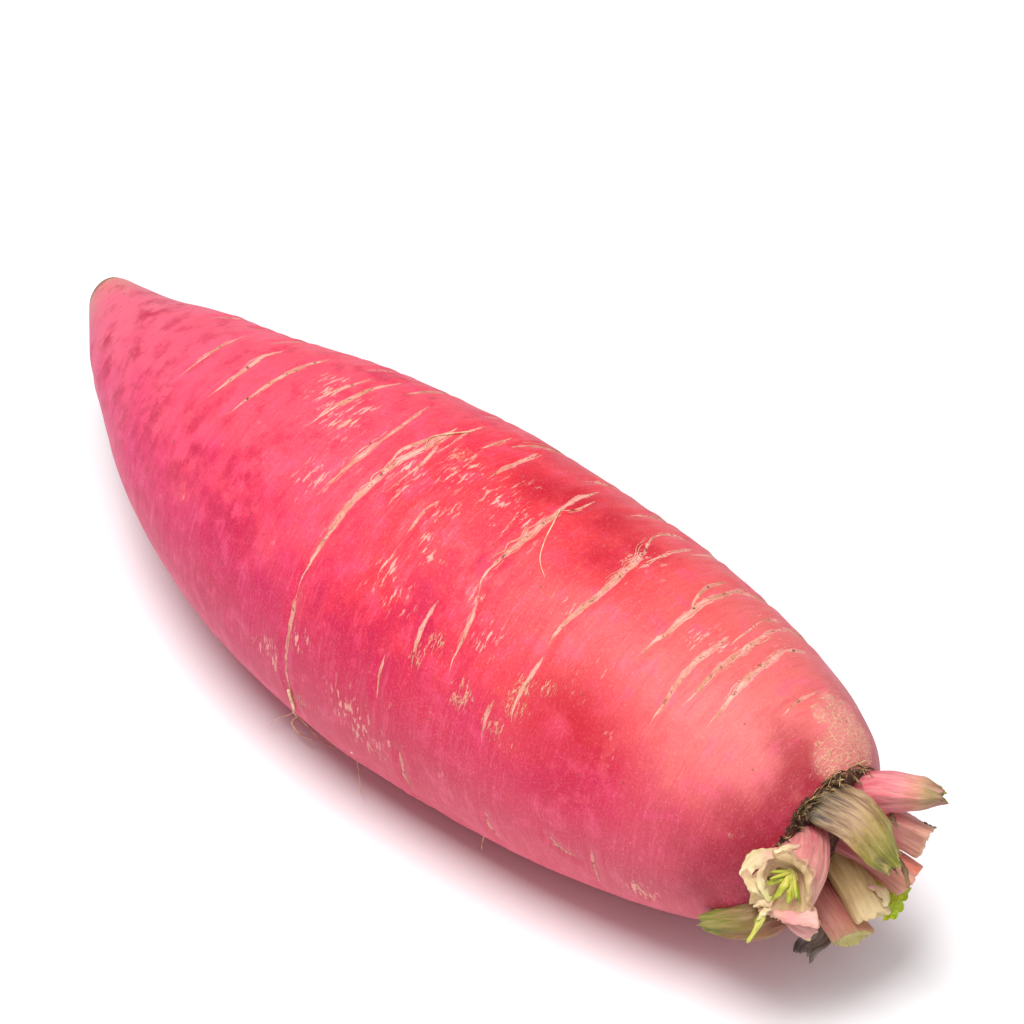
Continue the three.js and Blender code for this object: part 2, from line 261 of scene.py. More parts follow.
# Fibres that run along a stalk, used by every stalk and leaf: streaks, blotches and their relief
def makeFibreGroup():
    group = bpy.data.node_groups.new("stalkFibres", "ShaderNodeTree")
    group.interface.new_socket("Fibre", in_out="INPUT", socket_type="NodeSocketVector")
    group.interface.new_socket("Coarse", in_out="INPUT", socket_type="NodeSocketFloat")
    for label in ("Streak", "Blotch", "Dots", "Height"):
        group.interface.new_socket(label, in_out="OUTPUT", socket_type="NodeSocketFloat")
    start = group.nodes.new("NodeGroupInput")
    end = group.nodes.new("NodeGroupOutput")
    fibre = addNode("ShaderNodeVectorMath", {0: start.outputs["Fibre"], "Scale": start.outputs["Coarse"]},
                    operation="SCALE").outputs[0]
    wide = noiseOver(fibre, (9.0, 9.0, 0.9), 3.0, 0.6)
    thin = noiseOver(fibre, (26.0, 26.0, 1.6), 2.0, 0.6)
    streak = plus(times(wide, 0.6), times(thin, 0.4))
    blotch = noiseOver(fibre, (2.6, 2.6, 1.8), 5.0, 0.65)
    dots = cellsOver(fibre, (14.0, 14.0, 14.0))["Distance"]
    for label, value in (("Streak", between(streak, 0.4, 0.62)), ("Blotch", between(blotch, 0.45, 0.66)),
                         ("Dots", between(dots, 0.25, 0.1)), ("Height", plus(streak, times(blotch, 0.5)))):
        group.links.new(value, end.inputs[label])
    return group


fibreGroup = makeFibreGroup()

# The root. Millimetres and degrees, the same shape as the frame's root.
rootValues = {
    "length": 254.0, "radius": 42.0, "bow": 11.0, "lean": 8.8, "rise": 0.8,
    "slantY": 0.31, "slantZ": 0.16, "slantReach": 24.0,
    "outline": [(0, .155), (.022, .215), (.07, .32), (.15, .475), (.26, .7), (.39, .895), (.52, .99),
                (.6, 1), (.745, .95), (.85, .847), (.925, .725), (.97, .6), (.992, .48), (1, .42)],
    "crown": [(.41, .25), (.39, .8), (.37, .5), (.35, .2), (.325, .6), (.3, 1), (.275, .7), (.25, .4),
              (.215, .9), (.18, 1.3), (.09, 1.5), (0, 1.6)],
    "groove": {"angle": 96, "from": 6, "to": 52, "depth": 0.9, "width": 15},
    "bump": {"at": 40, "angle": -50, "reach": 16, "spread": 45, "height": 2.3},
    "rings": 585, "sides": 160, "furrow": 0.3, "furrowWidth": 1.5, "lumps": 0.16,
}
rootLength, rootRadius = rootValues["length"], rootValues["radius"]

rootOutline = smoothSteps([(s * rootLength, r * rootRadius) for s, r in rootValues["outline"]], True)


# How far out the skin is at a distance along the root
def radiusAt(along):
    return np.interp(along, rootOutline[:, 0], rootOutline[:, 1])


# The angle between two directions in degrees, from -180 to 180
def turnBetween(first, second):
    return (first - second + 540) % 360 - 180


# Height of the skin above the plain outline. Angles run from the top towards the camera's side.
def skinRelief(along, angle):
    share = along / rootLength
    turn = np.radians(angle)
    waves = (0.05 * np.cos(2 * turn + 0.7) + 0.03 * np.cos(3 * turn + 5 * share)
             + 0.02 * np.cos(5 * turn - 9 * share))
    height = rootRadius * share * (1 - share) * waves
    groove = rootValues["groove"]
    beside = turnBetween(angle, groove["angle"]) / groove["width"]
    ends = (smoothStep(along, groove["from"] - 6, groove["from"] + 6)
            * (1 - smoothStep(along, groove["to"] - 24, groove["to"])))
    height = height - groove["depth"] * ends * (np.exp(-beside ** 2) - 0.6 * np.exp(-(beside - 1.5) ** 2))
    bump = rootValues["bump"]
    turned = turnBetween(angle, bump["angle"]) / bump["spread"]
    away = np.hypot((along - bump["at"]) / bump["reach"], turned)
    return height + bump["height"] * np.exp(-away ** 2)


# Where a place on the straight root goes when it is slanted at the tail, bowed and raised
def placeOnRoot(along, across, up):
    along, across, up = np.broadcast_arrays(*(np.asarray(v, float) for v in (along, across, up)))
    share = along / rootLength
    slant = ((rootValues["slantY"] * across + rootValues["slantZ"] * up)
             * (1 - smoothStep(along, 0, rootValues["slantReach"])))
    bulge = 4 * share * (1 - share)
    bend = rootValues["bow"] - rootValues["lean"] * (2 * share - 1)
    slope = (2 * rootValues["lean"] * bulge - 4 * (1 - 2 * share) * bend) / rootLength
    long = np.sqrt(1 + slope ** 2)
    x = along - rootLength / 2 - slant - slope / long * across
    y = -bulge * bend + across / long
    rise = math.radians(rootValues["rise"])
    return np.stack([x * math.cos(rise) - up * math.sin(rise), y, x * math.sin(rise) + up * math.cos(rise)],
                    -1) + rowShift


# A place on the skin, by its distance along and its angle
def placeOnSkin(along, angle):
    out = radiusAt(along) + skinRelief(along, angle)
    turn = np.radians(angle)
    return placeOnRoot(along, -out * np.sin(turn), out * np.cos(turn))


crownMiddle = placeOnRoot(rootLength, 0, 0)


def makeRootMesh():
    skin = np.linspace(0.5, rootLength, rootValues["rings"])
    tailRadius = float(radiusAt(0.0))
    cutFace = [(0, 0.5), (0.25, 0.1), (0.5, 0.45), (0.7, 0.2), (0.85, 0.05), (0.95, 0.12)]
    chain = [(r * tailRadius, h) for r, h in cutFace]
    chain += [(float(radiusAt(a)), float(a)) for a in skin]
    chain += [(r * rootRadius, rootLength + h) for r, h in rootValues["crown"]]
    bm, along, radius, turn = spinChain(chain, rootValues["sides"])
    turn = -turn
    isSkin = smoothStep(radius, 2, 8) * (1 - smoothStep(along, rootLength - 3, rootLength))
    lumps = np.array([noise.noise(Vector((a / 7, r * math.cos(t) / 9, r * math.sin(t) / 9)))
                      for a, r, t in zip(along, radius, turn)])
    far = radius + isSkin * (skinRelief(along, np.degrees(turn)) + rootValues["lumps"] * lumps)
    places = placeOnRoot(along, -far * np.sin(turn), far * np.cos(turn))
    return bm, places, along, radius, turn


rootMesh, rootPlaces, rootAlong, rootOut, rootTurn = makeRootMesh()
writePlaces(rootMesh, rootPlaces)
rootTree = BVHTree.FromBMesh(rootMesh)
print("root shaped:", len(rootPlaces), "vertices")


# The place and facing of the skin where a ray meets it, or the nearest to a place
def skinAtPixel(x, y):
    start, way = Vector(cameraPlace * millimetre), Vector(pixelDirection(x, y))
    place, facing, _, _ = rootTree.ray_cast(start, way)
    return (None, None) if place is None else (np.array(place) / millimetre, np.array(facing))


def skinNearest(place):
    found, facing, _, _ = rootTree.find_nearest(Vector(np.array(place) * millimetre))
    return np.array(found) / millimetre, np.array(facing)


# Cross scars and their rootlets. Those that face the camera follow pixels of the photograph, each with its
# width in millimetres.
scarValues = {
    "traced": [
        (.62, [(429, 405), (390, 433), (347, 466), (316, 494)]),
        (.85, [(457, 427), (420, 449), (390, 466), (368, 486), (347, 507), (334, 525), (322, 542),
               (311, 560), (301, 578), (296, 594)]),
        (.5, [(296, 594), (292, 613), (286, 647), (285, 668), (289, 689), (299, 711)]),
        (.5, [(454, 431), (425, 440), (398, 452), (385, 470)]),
        (.7, [(600, 491), (577, 498), (554, 514), (526, 537), (495, 563), (482, 578), (478, 594)]),
        (.45, [(478, 594), (473, 613), (462, 640), (452, 659), (448, 672)]),
        (.35, [(596, 500), (578, 508), (560, 510)]),
        (.85, [(652, 537), (640, 557), (619, 576), (592, 600), (572, 616), (556, 632), (546, 649)]),
        (.5, [(690, 541), (672, 534), (654, 536), (644, 552)]),
        (.45, [(694, 548), (672, 552), (646, 562)]),
        (.8, [(749, 588), (726, 593), (703, 601), (685, 616), (667, 632), (647, 647), (636, 660)]),
        (.5, [(728, 581), (708, 586), (698, 596), (690, 612)]),
        (.6, [(728, 639), (710, 650), (690, 667), (672, 690), (657, 713), (649, 726)]),
        (.75, [(792, 629), (772, 631), (754, 642), (736, 655), (713, 673), (698, 690), (682, 706)]),
        (.45, [(786, 619), (764, 620), (748, 630), (730, 646)]),
        (.7, [(813, 652), (785, 650), (772, 660), (754, 673), (739, 688), (723, 708), (705, 728)]),
        (.45, [(399, 753), (404, 776), (418, 799)]),
        (.4, [(485, 812), (489, 826), (501, 840)]),
        (.42, [(548, 837), (563, 850), (580, 860)]),
        (.4, [(590, 850), (594, 868), (600, 885)]),
        (.36, [(636, 885), (641, 892), (648, 898)]),
        (.42, [(246, 334), (220, 346), (196, 362), (178, 377)]),
        (.6, [(283, 350), (262, 356), (240, 372), (215, 390), (207, 397)]),
        (.62, [(330, 358), (304, 365), (276, 378), (250, 396), (226, 414)]),
        (.5, [(372, 378), (352, 384), (330, 392), (312, 400)]),
        (.58, [(402, 382), (372, 388), (345, 400), (322, 414), (306, 426)]),
        (.34, [(455, 432), (440, 442), (424, 460), (402, 478), (385, 492)]),
        (.34, [(484, 425), (466, 432), (448, 445), (436, 452)]),
        (.5, [(512, 437), (494, 443), (480, 448)]),
        (.6, [(538, 452), (520, 461), (500, 470), (487, 478)]),
        (.34, [(440, 500), (426, 508), (414, 522), (406, 534)]),
        (.3, [(268, 352), (258, 360), (250, 366)]),
        (.4, [(438, 600), (424, 622), (414, 648), (410, 672)]),
        (.42, [(545, 655), (530, 676), (516, 700), (510, 722)]),
        (.3, [(384, 655), (378, 676), (376, 698)]),
        (.34, [(493, 700), (484, 722), (480, 742)]),
        (.3, [(820, 690), (800, 700), (782, 716)]),
    ],
    # On the hidden side and below: the distance along, and the angles where a scar starts and ends
    "hidden": [(46, -20, -70), (58, -28, -84), (72, -18, -92), (88, -30, -105), (101, -24, -80),
               (117, -20, -112), (133, -34, -96), (149, -22, -118), (166, -30, -92), (181, -26, -120),
               (197, -32, -96), (210, -28, -88), (222, -40, -90), (64, 196, 150), (92, 205, 160),
               (121, 192, 140), (150, 204, 158), (176, 190, 146), (205, 200, 160), (78, -178, -140),
               (137, -170, -128), (190, -174, -132)],
    "hiddenWide": .62, "sunk": .66, "wobble": .24, "thread": (.12, .22), "seed": 11,
}


def scarPaths():
    chance = random.Random(scarValues["seed"])
    found = []
    for wide, pixels in scarValues["traced"]:
        count = max(12, int(np.sum(lineSteps(np.array(pixels, float))) / 3))
        pairs = [skinAtPixel(x, y) for x, y in curveThrough(pixels, count)]
        found.append(([pair for pair in pairs if pair[0] is not None], wide))
    for along, start, end in scarValues["hidden"]:
        angles = np.linspace(start, end, 60)
        drift = chance.uniform(3, 9) * np.linspace(0, 1, 60) ** 1.5 * chance.choice((-1, 1))
        sway = chance.uniform(0.6, 1.4) * np.sin(np.linspace(0, chance.uniform(4, 8), 60))
        pairs = [skinNearest(place) for place in placeOnSkin(along + drift + sway, angles)]
        found.append((pairs, scarValues["hiddenWide"] * chance.uniform(0.6, 1.2)))
    return [(*(np.array(column) for column in zip(*pairs)), wide)
            for pairs, wide in found if len(pairs) > 3]


scars = scarPaths()
print("scars laid:", len(scars))


# How near each vertex of the root is to a scar, in millimetres, and how wide the scar is there
def distanceToScars(places):
    points = np.vstack([path for path, _, _ in scars])
    widths = []
    for path, _, wide in scars:
        share = np.linspace(0, 1, len(path))
        widths.append(wide * np.minimum(1, np.minimum(0.3 + 6 * share, 2.4 * (1 - share))))
    widths = np.concatenate(widths)
    tree = KDTree(len(points))
    for i, point in enumerate(points):
        tree.insert(point, i)
    tree.balance()
    nearest = [tree.find(place) for place in places]
    return np.array([near[2] for near in nearest]), np.array([widths[near[1]] for near in nearest])


# How far the skin is moved at a distance from a scar: a furrow with a low lip on each side
def furrowAt(distance):
    return rootValues["furrow"] * (0.45 * np.exp(-((distance - 2.6) / 0.9) ** 2)
                                   - np.exp(-(distance / rootValues["furrowWidth"]) ** 2))


scarDistance, scarWide = distanceToScars(rootPlaces)
outwards = np.array([v.normal[:] for v in rootMesh.verts])
rootPlaces = rootPlaces + outwards * furrowAt(scarDistance)[:, None]
rootPlaces[:, 2] = np.maximum(rootPlaces[:, 2], 0.0)
writePlaces(rootMesh, rootPlaces)

# Marks on the skin, as pixels with a reach in millimetres, and places on the hidden side. Some paint shade
# and a cast shadow into the skin's colour, as noted at each.
markValues = {
    "scuffs": [(385, 567, 4), (490, 637, 4), (484, 645, 3), (476, 597, 3), (497, 495, 6), (466, 470, 7),
        (520, 520, 5), (400, 600, 4), (340, 420, 7), (355, 412, 6), (330, 385, 6), (410, 470, 6),
        (395, 490, 4), (425, 545, 4), (445, 515, 5), (350, 715, 8), (365, 735, 8), (340, 700, 6),
        (310, 480, 6), (640, 560, 4), (700, 640, 4), (300, 640, 4), (268, 655, 6), (640, 890, 5),
        (560, 610, 4), (722, 640, 4)],
    "hiddenScuffs": [(70, -60, 10), (110, -90, 11), (150, -70, 9), (185, -110, 10), (130, 160, 11),
        (90, 180, 10)],
    "cork": [(846, 752, 8.5), (862, 742, 6), (828, 760, 5), (830, 700, 3), (822, 715, 3)],
    "netting": [(463, 696, 4), (458, 702, 3), (521, 690, 4), (516, 708, 4), (497, 728, 3), (438, 640, 3),
        (420, 655, 3), (345, 420, 3), (460, 455, 4), (300, 700, 3), (548, 690, 2.5)],
    "hiddenCork": [(247, -30, 8), (248, -80, 6), (247, 170, 7)],
    # Deep crimson round the crown's lower edge by the collar: painted shade where the stalks meet the root
    "crimsonShade": [(815, 783, 6), (800, 801, 8.5), (778, 823, 9.5), (752, 846, 10), (726, 868, 10),
        (702, 886, 8)],
    # Darker places, partly the skin's deeper colour and partly painted shade: the first four shade the
    # groove near the tail, others lie low on the camera's side
    "deeperAndShade": [(107, 340, 3.5), (110, 365, 3.5), (114, 395, 4), (119, 430, 5), (150, 312, 5), (135, 352, 4),
        (165, 392, 5), (150, 420, 6), (185, 455, 8), (140, 470, 6), (230, 520, 9), (210, 590, 8),
        (250, 470, 7), (430, 610, 12), (480, 560, 8), (360, 640, 10), (560, 790, 9), (600, 765, 7)],
    # Red patches in the middle below the top edge: partly the skin's own red, partly a painted shadow cast
    # by a piece that is not in the scene
    "redderAndShadow": [(545, 490, 10), (575, 500, 10), (605, 520, 9), (640, 545, 7), (570, 720, 14), (600, 560, 9)],
}


def markMask(pixels, hidden=()):
    mask = np.zeros(len(rootPlaces))
    spots = [(skinAtPixel(x, y)[0], reach) for x, y, reach in pixels]
    spots += [(placeOnSkin(float(a), float(t)), reach) for a, t, reach in hidden]
    for spot, reach in spots:
        if spot is not None:
            away = np.linalg.norm(rootPlaces - spot, axis=1) / reach
            mask = np.maximum(mask, np.exp(-away ** 2))
    return mask


# Colours of the skin, from the tail to the crown, on the camera's side and on top. Over the skin's own
# magenta and coral, the camera's side is painted darker as shade and the top paler as lit.
skinValues = {
    "frontAndShade": [(0, "c8705c"), (.03, "de5476"), (.1, "e43474"), (.25, "d80c62"), (.45, "c80c52"),
        (.65, "c81a48"), (.8, "ce3054"), (.93, "c23e54"), (1, "9c2038")],
    "above": [(0, "de8a7e"), (.06, "e86a80"), (.18, "ee5672"), (.35, "ee4a60"), (.5, "e8465a"),
        (.6, "e2303e"), (.72, "e24448"), (.85, "de5a58"), (.95, "da6c68"), (1, "b04244")],
    "deep": "bd0c44",
    "pale": "ea5482",
    "line": "ee6c8a",
    "fleck": "f6a096",
    "scuff": "f2b6a6",
    # Colour of the painted shade by the collar
    "crimsonShade": "98102e",
    # Colour of the red patches, partly skin colour and partly painted shadow
    "redderAndShadow": "b80e28",
    "scarEdge": "ee9a92",
    "cork": "e6b08c",
    "corkDark": "8c5a40",
    "speck": "6e4434",
    "soil": "2c1d14",
    "soilPale": "7c5c3c",
    "tailCut": "96643f",
    "roughness": .52,
    "sheen": .04,
    "softness": .12,
    "softDepth": .003,
}


def makeSkinMaterial():
    values = skinValues
    material, tree, surface = newMaterial("radishSkin", values["roughness"], values["softness"],
                                          values["softDepth"])
    surface.inputs["Sheen Weight"].default_value = values["sheen"]
    grown = readAttribute(tree, "grown", "Vector")
    share = plus(readAttribute(tree, "share"), swing(noiseOver(grown, (.45, .6, .6), 4.0, 0.55), 0.22))
    patches = noiseOver(grown, (.8, .9, .9), 5.0, 0.6)
    mottle = noiseOver(grown, (2.0, 1.6, 1.6), 6.0, 0.62)
    lines = noiseOver(grown, (13.0, 1.1, 1.1), 3.0, 0.6)
    flecks = noiseOver(grown, (24.0, 10.0, 10.0), 3.0, 0.7)
    dashes = noiseOver(grown, (12.0, 2.6, 2.6), 7.0, 0.66)
    fine = noiseOver(grown, (42.0, 16.0, 16.0), 3.0, 0.7)
    clusters = between(noiseOver(grown, (.8, .9, .9), 4.0, 0.65), 0.55, 0.7, 0.5)
    scuffPlaces = plus(readAttribute(tree, "scuff"), clusters, clamp=True)
    scuffMask = times(between(plus(dashes, times(scuffPlaces, 0.1)), 0.62, 0.66), scuffPlaces)
    scarPlace = plus(readAttribute(tree, "scar"), plus(swing(dashes, 1.1), swing(mottle, 0.9)))
    cork = readAttribute(tree, "cork")
    net = cellsOver(grown, (15.0, 4.2, 4.2), "DISTANCE_TO_EDGE")["Distance"]
    netPlaces = plus(calculate("MAXIMUM", cork, readAttribute(tree, "netting")), swing(dashes, 2.4))
    cracks = times(between(net, 0.22, 0.06), between(fine, 0.4, 0.54))
    netMask = times(cracks, between(netPlaces, 0.42, 0.66))
    cells = cellsOver(grown, (3.2, 3.2, 3.2))
    chosen = between(addNode("ShaderNodeSeparateColor", {0: cells["Color"]}).outputs[0], 0.7, 0.72)
    speckMask = times(between(cells["Distance"], 0.1, 0.06), chosen)
    soilNoise = noiseOver(grown, (14.0, 6.0, 6.0), 5.0, 0.7)
    soilMask = between(plus(readAttribute(tree, "soil"), swing(soilNoise, 1.6)), 0.42, 0.66, 0.92)
    # Painted light and shade over the skin's own hue: the top gets the paler lit colours, the camera's side
    # the darker shaded ones
    isAbove = between(plus(readAttribute(tree, "top"), swing(patches, 0.5)), 0.62, 0.98)
    colour = blend(isAbove, rampOver(share, values["frontAndShade"]), rampOver(share, values["above"]))
    # Each tone lies over those before it
    for mask, tone in (
        (times(between(mottle, 0.49, 0.66), between(share, 1.05, 0.3, 0.55)), "deep"),
        (between(mottle, 0.48, 0.36, 0.26), "pale"),
        (between(lines, 0.5, 0.7, 0.2), "line"),
        (between(lines, 0.46, 0.3, 0.22), "deep"),
        (times(between(flecks, 0.56, 0.72), between(share, 0.1, 0.8, 0.24)), "fleck"),
        # Painted shade by the collar, in deep crimson
        (times(readAttribute(tree, "crimsonShade"), between(patches, 0.25, 0.6, 0.85)), "crimsonShade"),
        # Darker places, partly painted shade in the tail's groove and low on the camera's side
        (times(readAttribute(tree, "deeperAndShade"), between(mottle, 0.42, 0.56, 0.75)), "deep"),
        # Red patches, partly skin colour and partly a painted cast shadow
        (times(readAttribute(tree, "redderAndShadow"), between(patches, 0.3, 0.56, 0.9)), "redderAndShadow"),
        (times(scuffMask, 0.8), "scuff"),
        (between(fine, 0.52, 0.68, 0.16), "fleck"),
        (between(fine, 0.46, 0.32, 0.22), "deep"),
        (between(scarPlace, 0.56, 0.74, 0.85), "scarEdge"),
        (times(between(scarPlace, 0.6, 0.9), between(fine, 0.5, 0.6, 0.75)), "corkDark"),
        (between(cork, 0.25, 0.9, 0.42), "fleck"),
        (times(netMask, 0.8), "cork"),
        (times(speckMask, 0.75), "speck"),
        (between(plus(readAttribute(tree, "tailCut"), times(mottle, 0.4)), 0.5, 0.9), "tailCut"),
    ):
        colour = blend(mask, colour, values[tone])
    colour = blend(soilMask, colour, blend(between(fine, 0.5, 0.66), values["soil"], values["soilPale"]))
    dryMask = calculate("MAXIMUM", calculate("MAXIMUM", scuffMask, netMask), soilMask)
    dull = plus(times(mottle, 0.16), times(dryMask, 0.4))
    tree.links.new(plus(dull, values["roughness"] - 0.08), surface.inputs["Roughness"])
    relief = plus(plus(times(lines, 0.7), times(flecks, 0.5)), times(mottle, 0.8))
    dress(tree, surface, colour, plus(relief, plus(scuffMask, netMask)), 0.55, 0.0003)
    return material


def finishRoot():
    share = rootAlong / rootLength
    fromCrown = rootLength - rootAlong
    soilReach = 0.6 + 1.6 * np.exp(-((np.degrees(rootTurn) - 25) / 40) ** 2)
    values = {
        "grown": np.stack([rootAlong, rootOut * np.cos(rootTurn), rootOut * np.sin(rootTurn)], -1) / 10,
        "share": np.clip(share, 0, 1),
        "top": 0.5 + 0.5 * np.cos(rootTurn),
        "scar": (np.exp(-(scarDistance / (0.25 + 1.1 * scarWide)) ** 2)
                 * np.minimum(1, 0.35 + 1.6 * scarWide)),
        # Partly deeper skin colour, partly painted shade
        "deeperAndShade": markMask(markValues["deeperAndShade"]),
        "scuff": markMask(markValues["scuffs"], markValues["hiddenScuffs"]),
        "cork": markMask(markValues["cork"], markValues["hiddenCork"]),
        # Painted shade: deep crimson in a ring next to the collar and at the listed places
        "crimsonShade": np.maximum(markMask(markValues["crimsonShade"]), 0.8 * np.exp(-(fromCrown / 4) ** 2)),
        "netting": 0.7 * markMask(markValues["netting"]),
        # Partly skin colour, partly a painted cast shadow
        "redderAndShadow": markMask(markValues["redderAndShadow"]),
        "soil": 1 - smoothStep(fromCrown, -0.8, soilReach),
        "tailCut": 1 - smoothStep(rootAlong, 0.6, 4.2),
    }
    finishPiece(rootMesh, "radishRoot", makeSkinMaterial(), ("root",), values)


finishRoot()
print("root finished")


# Round strands of changing thickness along lines, as one mesh. Millimetres.
def strandMesh(strands):
    curve = bpy.data.curves.new("strands", "CURVE")
    curve.dimensions = "3D"
    curve.bevel_depth = millimetre
    curve.bevel_resolution = 1
    curve.use_fill_caps = True
    for places, radii in strands:
        spline = curve.splines.new("POLY")
        spline.points.add(len(places) - 1)
        flat = np.column_stack([np.array(places) * millimetre, np.ones(len(places))])
        spline.points.foreach_set("co", flat.ravel())
        spline.points.foreach_set("radius", np.asarray(radii, float))
    holder = bpy.data.objects.new("strands", curve)
    mesh = bpy.data.meshes.new_from_object(holder)
    bm = bmesh.new()
    bm.from_mesh(mesh)
    bpy.data.meshes.remove(mesh)
    bpy.data.objects.remove(holder)
    bpy.data.curves.remove(curve)
    bmesh.ops.recalc_face_normals(bm, faces=bm.faces[:])
    return bm


corkValues = {"pale": "e6a694", "tan": "c6846a", "brown": "865236", "dark": "482c1e"}


def makeCorkMaterial():
    material, tree, surface = newMaterial("scarCork", 0.75, 0.05, 0.001)
    patches, grain, dark = (
        noiseOver(objectPlace(tree), (size, size, size), detail, roughness)
        for size, detail, roughness in ((160.0, 4.0, 0.6), (900.0, 3.0, 0.7), (420.0, 2.0, 0.5)))
    colour = blend(between(patches, 0.4, 0.6), corkValues["pale"], corkValues["tan"])
    colour = blend(between(grain, 0.54, 0.66, 0.8), colour, corkValues["brown"])
    colour = blend(between(dark, 0.62, 0.7, 0.8), colour, corkValues["dark"])
    dress(tree, surface, colour, plus(patches, grain), 0.7, 0.0004)
    return material


def makeScars():
    chance = random.Random(scarValues["seed"] + 1)
    strands = []
    for places, facings, wide in scars:
        count = len(places)
        share = np.linspace(0, 1, count)
        along = np.gradient(places, axis=0)
        side = np.cross(facings, along)
        side /= np.maximum(np.linalg.norm(side, axis=1), 1e-6)[:, None]
        phase = chance.uniform(0, 50)
        ragged, wobble = (np.array([noise.noise(Vector((phase + k * step, row, 0))) for k in range(count)])
                          for step, row in ((0.35, 3.1), (0.3, 9.7)))
        radius = 0.85 * wide * (0.25 + 0.75 * np.minimum(1, 4 * share * (1.02 - share)) ** 0.6)
        radius = np.maximum(radius * (1 + 1.1 * ragged) * (1 - smoothStep(share, 0.85, 1)), 0.06)
        middle = (places - facings * (rootValues["furrow"] * 0.9 + scarValues["sunk"] * radius)[:, None]
                  + side * (scarValues["wobble"] * wobble)[:, None])
        strands.append((middle, radius))
        for _ in range(2 if wide > 0.5 else 1):
            first = chance.randrange(count // 2)
            last = min(count, first + max(5, int(count * chance.uniform(0.3, 0.6))))
            part = np.arange(first, last)
            beside = wide * chance.uniform(0.8, 1.9) * (1 + 0.6 * wobble[part])
            taper = np.sin(np.linspace(0.5, math.pi - 0.1, len(part))) ** 0.5
            thin = chance.uniform(*scarValues["thread"]) * taper
            lift = furrowAt(beside) - 0.35 * thin
            strands.append((places[part] + side[part] * (chance.choice((-1, 1)) * beside)[:, None]
                            + facings[part] * lift[:, None], thin))
    finishPiece(strandMesh(strands), "crossScars", makeCorkMaterial())


makeScars()
print("scars finished")

# Hair rootlets, as a radius and pixels with a height over the floor in millimetres or "skin", and those on
# the hidden side as a distance along and an angle
rootletValues = {
    "lines": [
        (.42, [(289, 690, "skin"), (294, 706, "skin"), (297, 716, 9), (306, 724, 7), (325, 744, 5),
               (345, 749, 4)]),
        (.3, [(297, 716, 9), (292, 722, 8), (300, 734, 6), (318, 742, 4)]),
        (.28, [(352, 752, "skin"), (357, 760, 9), (359, 774, 5), (361, 796, 2)]),
        (.2, [(560, 510, "skin"), (553, 524, "skin"), (545, 540, "skin"), (540, 560, "skin"),
              (545, 578, "skin")]),
        (.22, [(470, 432, "skin"), (450, 434, "skin"), (430, 438, "skin"), (425, 450, "skin")]),
        (.25, [(82, 318, "skin"), (78, 320, 40), (74, 322, 39)]),
    ],
    "hidden": [(70, -95), (104, -108), (140, -112), (171, -118), (201, -94), (121, 142), (176, 148),
               (133, -128)],
    "reach": 14, "hiddenRadius": .22, "pale": "f0d8b4", "tan": "c8a078", "seed": 5,
}


def makeRootletMaterial():
    material, tree, surface = newMaterial("rootletSkin", 0.7, 0.1, 0.001)
    tones = noiseOver(objectPlace(tree), (300.0, 300.0, 300.0), 3.0, 0.6)
    dress(tree, surface, blend(between(tones, 0.4, 0.6), rootletValues["pale"], rootletValues["tan"]))
    return material


def makeRootlets():
    chance = random.Random(rootletValues["seed"])
    strands = []
    for radius, pixels in rootletValues["lines"]:
        points = []
        for x, y, height in pixels:
            if height != "skin":
                points.append(placeAtHeight(x, y, height))
                continue
            place, facing = skinAtPixel(x, y)
            if place is not None:
                points.append(place + facing * radius * 0.4)
        if len(points) > 2:
            strands.append((curveThrough(points, 30), radius * (1 - 0.75 * np.linspace(0, 1, 30))))
    for along, angle in rootletValues["hidden"]:
        start, facing = skinNearest(placeOnSkin(float(along), float(angle)))
        points = [start - facing * 0.4]
        heading = facing * 0.5 + [chance.uniform(-1, 1), chance.uniform(-.3, .3), chance.uniform(-.8, 0)]
        for _ in range(4):
            heading = heading + [chance.uniform(-.6, .6), chance.uniform(-.6, .6), chance.uniform(-.5, .1)]
            reached = points[-1] + heading / np.linalg.norm(heading) * rootletValues["reach"] / 4
            found, out = skinNearest(reached)
            if (reached - found) @ out < 0.2:
                reached = found + out * 0.3
            reached[2] = max(reached[2], 0.4)
            points.append(reached)
        radii = rootletValues["hiddenRadius"] * (1 - 0.7 * np.linspace(0, 1, 24))
        strands.append((curveThrough(points, 24), radii))
    finishPiece(strandMesh(strands), "hairRootlets", makeRootletMaterial())


makeRootlets()
print("rootlets finished")


# The directions along a line, across it and out from it, at each of its points
def lineWays(line, faces):
    forwards = np.gradient(line, axis=0)
    forwards /= np.linalg.norm(forwards, axis=1)[:, None]
    sideways = np.cross(forwards, np.array(faces, float) / np.linalg.norm(faces))
    sideways /= np.linalg.norm(sideways, axis=1)[:, None]
    return forwards, sideways, np.cross(sideways, forwards)


# Places beside a line, by the share along it and the distances across, out and ahead of it
def besideLine(line, faces, share, across, out, ahead):
    forwards, sideways, upwards = lineWays(line, faces)
    at = np.linspace(0, 1, len(line))
    parts = [np.stack([np.interp(share, at, values[:, k]) for k in range(3)], -1) * np.reshape(far, (-1, 1))
             for values, far in ((line, 1.0), (sideways, across), (upwards, out), (forwards, ahead))]
    return parts[0] + parts[1] + parts[2] + parts[3]


# The line of a stalk from inside the crown to its cut end
def stalkLine(stalk):
    start = placeOnRoot(rootLength, *stalk["base"])
    end = crownMiddle + np.array(stalk["tip"])
    middle = (start + end) / 2 + np.array(stalk["sag"])
    return curveThrough([placeOnRoot(rootLength - 4, *stalk["base"]), start, middle, end], 201)


# A value that goes smoothly through three values, at the start, the middle and the end
def through(three, share):
    first, second, third = three
    return (first + (4 * second - 3 * first - third) * share
            + 2 * (first + third - 2 * second) * share * share)


# The frame's name of the node that a piece stands for
def frameName(name):
    return "".join("_" + letter.lower() if letter.isupper() else letter for letter in name)


